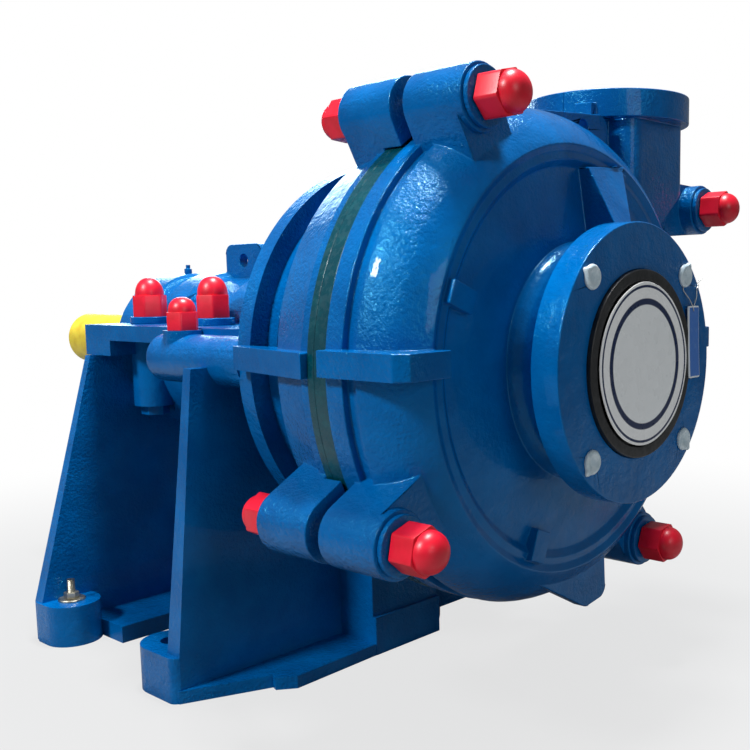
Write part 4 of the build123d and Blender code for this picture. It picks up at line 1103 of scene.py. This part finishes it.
@dataclass
class HangingTag:
    """Blank card tied to a hole of the suction flange with a bent steel wire."""

    face_x: float
    shaft_height: float
    hole_centre: Tuple[float, float]
    back_x: float = 0.607
    rim_radius: float = 0.1525
    rim_angle: float = 33.2
    middle_y: float = 0.1085
    top: float = 0.4677
    width: float = 0.025
    height: float = 0.083
    thickness: float = 0.0012
    corner: float = 0.0022
    eye_drop: float = 0.0052
    eye_radius: float = 0.0019
    stand_off: float = 0.0042
    bow: float = 0.0022
    wire_radius: float = 0.00055
    wire_sides: int = 10
    twist_share: float = 0.62
    twist_turns: float = 1.6

    def outline(self, count: int) -> Array:
        """Rounded rectangle, as (y, z) points from its middle.

        At angle a, cos a and sin a are raised to a low power and clipped to the sides less the
        corner, and the corner's radius times (cos a, sin a) is added.

        Args:
            count: number of points.

        Returns:
            Array of shape (count, 2).
        """
        angle = circle_angles(count)
        half = np.array([self.width / 2, self.height / 2]) - self.corner
        shares = np.stack([np.cos(angle), np.sin(angle)], axis=-1)
        swollen = np.sign(shares) * np.abs(shares) ** 0.12
        return np.clip(swollen * half * 1.2, -half, half) + self.corner * shares

    def card(self) -> Object:
        """Card with an eye near its top; it bows out as the square of the drop.

        Returns:
            The card.
        """
        count = 160
        outer = self.outline(count)
        eye = np.array([0.0, self.height / 2 - self.eye_drop])
        angle = np.arctan2(outer[:, 1] - eye[1], outer[:, 0] - eye[0])
        ring = eye + self.eye_radius * np.stack([np.cos(angle), np.sin(angle)], axis=-1)
        shares = np.linspace(0, 1, 7)[:, None, None]
        half_sheet = ring * (1 - shares) + outer * shares
        flat = np.concatenate([half_sheet, half_sheet[::-1]], axis=0)
        side = np.where(np.arange(len(flat)) < len(half_sheet), 0.5, -0.5)[:, None]
        drop = (self.height / 2 - flat[..., 1]) / self.height
        x = self.face_x + self.stand_off + self.bow * drop**2 + side * self.thickness
        y = self.middle_y + flat[..., 0]
        z = self.top - self.height / 2 + flat[..., 1]
        return grid_mesh("tag_card", np.stack([x, y, z], axis=-1), close_u=True)

    def loop(self) -> Array:
        """Path of the wire: through the eye, over the rim, behind the flange and out of the hole.

        A Catmull-Rom curve joins the bends: on each run the point is a cubic of the share along
        it, whose slopes at both ends come from the neighbouring bends.

        Returns:
            Points along the wire.
        """
        hole_y, hole_z = self.hole_centre
        eye_z = self.top - self.eye_drop
        front, back = self.face_x, self.back_x
        rim = self.rim_radius + 2 * self.wire_radius
        angle = math.radians(self.rim_angle)
        rim_y = rim * math.cos(angle)
        rim_z = self.shaft_height + rim * math.sin(angle)
        bends = np.array([
            (front + 0.0012, hole_y - 0.0050, hole_z - 0.0095),
            (front + 0.0014, hole_y - 0.0035, hole_z - 0.0165),
            (front + 0.0030, self.middle_y - 0.0055, eye_z + 0.0120),
            (front + self.stand_off + 0.0016, self.middle_y - 0.0016, eye_z + 0.0012),
            (front + self.stand_off, self.middle_y, eye_z - 0.0006),
            (front + self.stand_off - 0.0014, self.middle_y + 0.0018, eye_z + 0.0014),
            (front + 0.0026, self.middle_y + 0.0105, eye_z + 0.0140),
            (front + 0.0014, rim_y - 0.0065, rim_z - 0.0050),
            (front - 0.0006, rim_y, rim_z),
            (front - 0.0120, rim_y + 0.0002, rim_z + 0.0002),
            (back + 0.0016, rim_y, rim_z),
            (back - 0.0010, rim_y - 0.0050, rim_z - 0.0010),
            (back - 0.0012, hole_y + 0.0160, hole_z + 0.0020),
            (back - 0.0004, hole_y - 0.0020, hole_z - 0.0092),
            (back + 0.0060, hole_y - 0.0030, hole_z - 0.0101),
            (front - 0.0060, hole_y - 0.0040, hole_z - 0.0098),
        ])
        before, after = np.roll(bends, 1, axis=0), np.roll(bends, -1, axis=0)
        last = np.roll(bends, -2, axis=0)
        share = np.linspace(0, 1, 14, endpoint=False)[None, :, None]
        start, slope = bends[:, None], (after - before)[:, None] / 2
        end, end_slope = after[:, None], (last - bends)[:, None] / 2
        cubic = ((2 * share**3 - 3 * share**2 + 1) * start
                 + (share**3 - 2 * share**2 + share) * slope
                 + (3 * share**2 - 2 * share**3) * end + (share**3 - share**2) * end_slope)
        return cubic.reshape(-1, 3)

    def twisted_ends(self) -> List[Array]:
        """Paths of the two wire ends: a pair of helices that stand out from the rim and part.

        Returns:
            One path for each end.
        """
        along = np.linspace(0, 1, 60)
        angle = math.radians(self.rim_angle)
        reach = self.rim_radius + 0.0006 + 0.0135 * along
        paths = []
        for side in (0.0, np.pi):
            turn = side + self.twist_turns * 2 * np.pi * np.minimum(along, self.twist_share)
            parted = np.maximum(along - self.twist_share, 0) ** 0.8
            apart = self.wire_radius * 1.05 + 0.0022 * parted
            x = self.face_x - 0.0030 + apart * np.cos(turn)
            across = apart * np.sin(turn)
            y = reach * math.cos(angle) - across * math.sin(angle)
            z = self.shaft_height + reach * math.sin(angle) + across * math.cos(angle)
            paths.append(np.stack([x, y, z], axis=-1))
        return paths

    def build(self) -> None:
        """Make the card, the wire loop and its twisted ends."""
        centre = (self.face_x, self.middle_y, self.top - self.height / 2)
        card = dress(self.card(), TagCard(centre, self.width / 2, self.height / 2).build())
        wire = TurnedSteel("tie_wire", colour(0.62, 0.62, 0.6), colour(0.4, 0.4, 0.38)).build()
        bar = (self.wire_radius, self.wire_sides)
        pieces = [smooth(card, 40), round_bar("tag_wire", self.loop(), *bar, closed=True)]
        for index, path in enumerate(self.twisted_ends()):
            pieces.append(round_bar(f"tag_wire_end_{index + 1}", path, *bar))
        for made in pieces[1:]:
            smooth(dress(made, wire), 60)
        for made in pieces:
            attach(made, "frame")
        LOG.info("hanging tag: %d pieces", len(pieces))


@dataclass
class FootBolt:
    """Thin threaded rod with a washer and a nut through the near foot of the drive end."""

    x: float
    y: float
    foot_top: float = 0.057
    rod_radius: float = 0.0055
    rise: float = 0.03
    drop: float = 0.05
    pitch: float = 0.0016
    thread_depth: float = 0.0006

    def rod(self) -> Object:
        """Threaded rod: its radius follows a ridge at every pitch along its height.

        Returns:
            The rod.
        """
        bottom = self.foot_top - self.drop
        length = self.foot_top + self.rise - bottom
        count = int(length / self.pitch * 2)
        along = np.linspace(bottom, self.foot_top + self.rise, count) - bottom
        radii = self.rod_radius - self.thread_depth * (np.arange(count) % 2)
        ridges = np.stack([along, radii], axis=-1)
        profile = np.concatenate([[(0.0, 0.0)], ridges, [(length, 0.0)]])
        return lathe("foot_bolt_rod", profile, (self.x, self.y, bottom), UP, 20)

    def build(self) -> None:
        """Make the rod, the washer and the nut."""
        zinc = TurnedSteel("foot_bolt_zinc", colour(0.5, 0.48, 0.4),
                           colour(0.3, 0.27, 0.2)).build()
        base = (self.x, self.y, self.foot_top)
        disc = ((0, 0), (0, 0.0185), (0.0022, 0.0185), (0.003, 0.0178), (0.003, 0))
        barrel = ((0.003, 0), (0.003, 0.0098), (0.0038, 0.0104), (0.011, 0.0104),
                  (0.0118, 0.0098), (0.0118, 0))
        washer = lathe("foot_bolt_washer", disc, base, UP, 40)
        nut = lathe("foot_bolt_nut", barrel, base, UP, 6)
        for made in (self.rod(), washer, nut):
            dress(made, zinc)
            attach(made, "frame")
        smooth(washer)
        LOG.info("foot bolt: rod, washer and nut")


def moulded_caps() -> List[MouldedCaps]:
    """The three kinds of caps, on the casing bolts, the housing clamps and the stand's rails.

    Returns:
        One set of caps for each kind.
    """
    casing_spots = ((-0.1519, 0.682), (-0.283, 0.2511), (0.184, 0.1585), (0.403, 0.598))
    casing_planes = (0.558, 0.558, 0.5425, 0.5065, 0.366, 0.366, 0.366, 0.384)
    casing_seats = tuple((x, y, z) for x, (y, z) in zip(casing_planes, casing_spots * 2))
    clamp_seats = tuple((x, y, 0.456) for y in (-0.13, 0.13) for x in (-0.116, 0.043))
    rail_seats = tuple((0.098, y, 0.444) for y in (-0.215, 0.215))
    return [
        MouldedCaps("casing_bolt_caps", casing_seats, (FORWARD,) * 4 + (BACK,) * 4,
                    turns=(13.0, 18.0, 8.0, 22.0, 4.0, 26.0, 12.0, 40.0), across=0.0444,
                    skirt=0.029, height=0.0475, socket_radius=0.0213, socket_depth=0.0245),
        MouldedCaps("clamp_bolt_caps", clamp_seats, (UP,) * 4,
                    turns=(8.0, 24.0, 40.0, 15.0), across=0.0426,
                    skirt=0.031, height=0.057, socket_radius=0.0209, socket_depth=0.0265),
        MouldedCaps("rail_bolt_caps", rail_seats, (UP,) * 2, turns=(20.0, 5.0), across=0.0364,
                    skirt=0.023, height=0.042, socket_radius=0.0176, socket_depth=0.021),
    ]


def metres(millimetres: float) -> float:
    """Millimetres of the record as metres."""
    return millimetres / 1000


def main() -> None:
    """Build the studio and dress the pump."""
    logging.basicConfig(level=logging.INFO, format="%(message)s")
    mounts = {mount["name"]: mount for mount in frame["record"]["mounts"]}
    face_x, _, shaft_height = mounts["suction_flange"]["pos_m"]
    flange, feet = mounts["suction_flange"]["dims"], mounts["base_feet"]["dims"]
    circle = metres(flange["pcd_mm"]) / 2
    hole = (circle * math.cos(math.pi / 4), shaft_height + circle * math.sin(math.pi / 4))
    Studio().build()
    finished = Castings(shaft_height).build()
    for caps in moulded_caps():
        caps.build(finished[Slot.CAP.value])
    board = ClosingBoard(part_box("suction_joint_ring")[1][0], shaft_height)
    board.build(finished[Slot.DISC.value])
    HolePlugs(face_x, shaft_height, circle, metres(flange["hole_r_mm"])).build()
    HangingTag(face_x, shaft_height, hole).build()
    FootBolt(-metres(feet["spacing_x_mm"]) / 2, -metres(feet["spacing_y_mm"]) / 2).build()


if __name__ == "__main__":
    main()
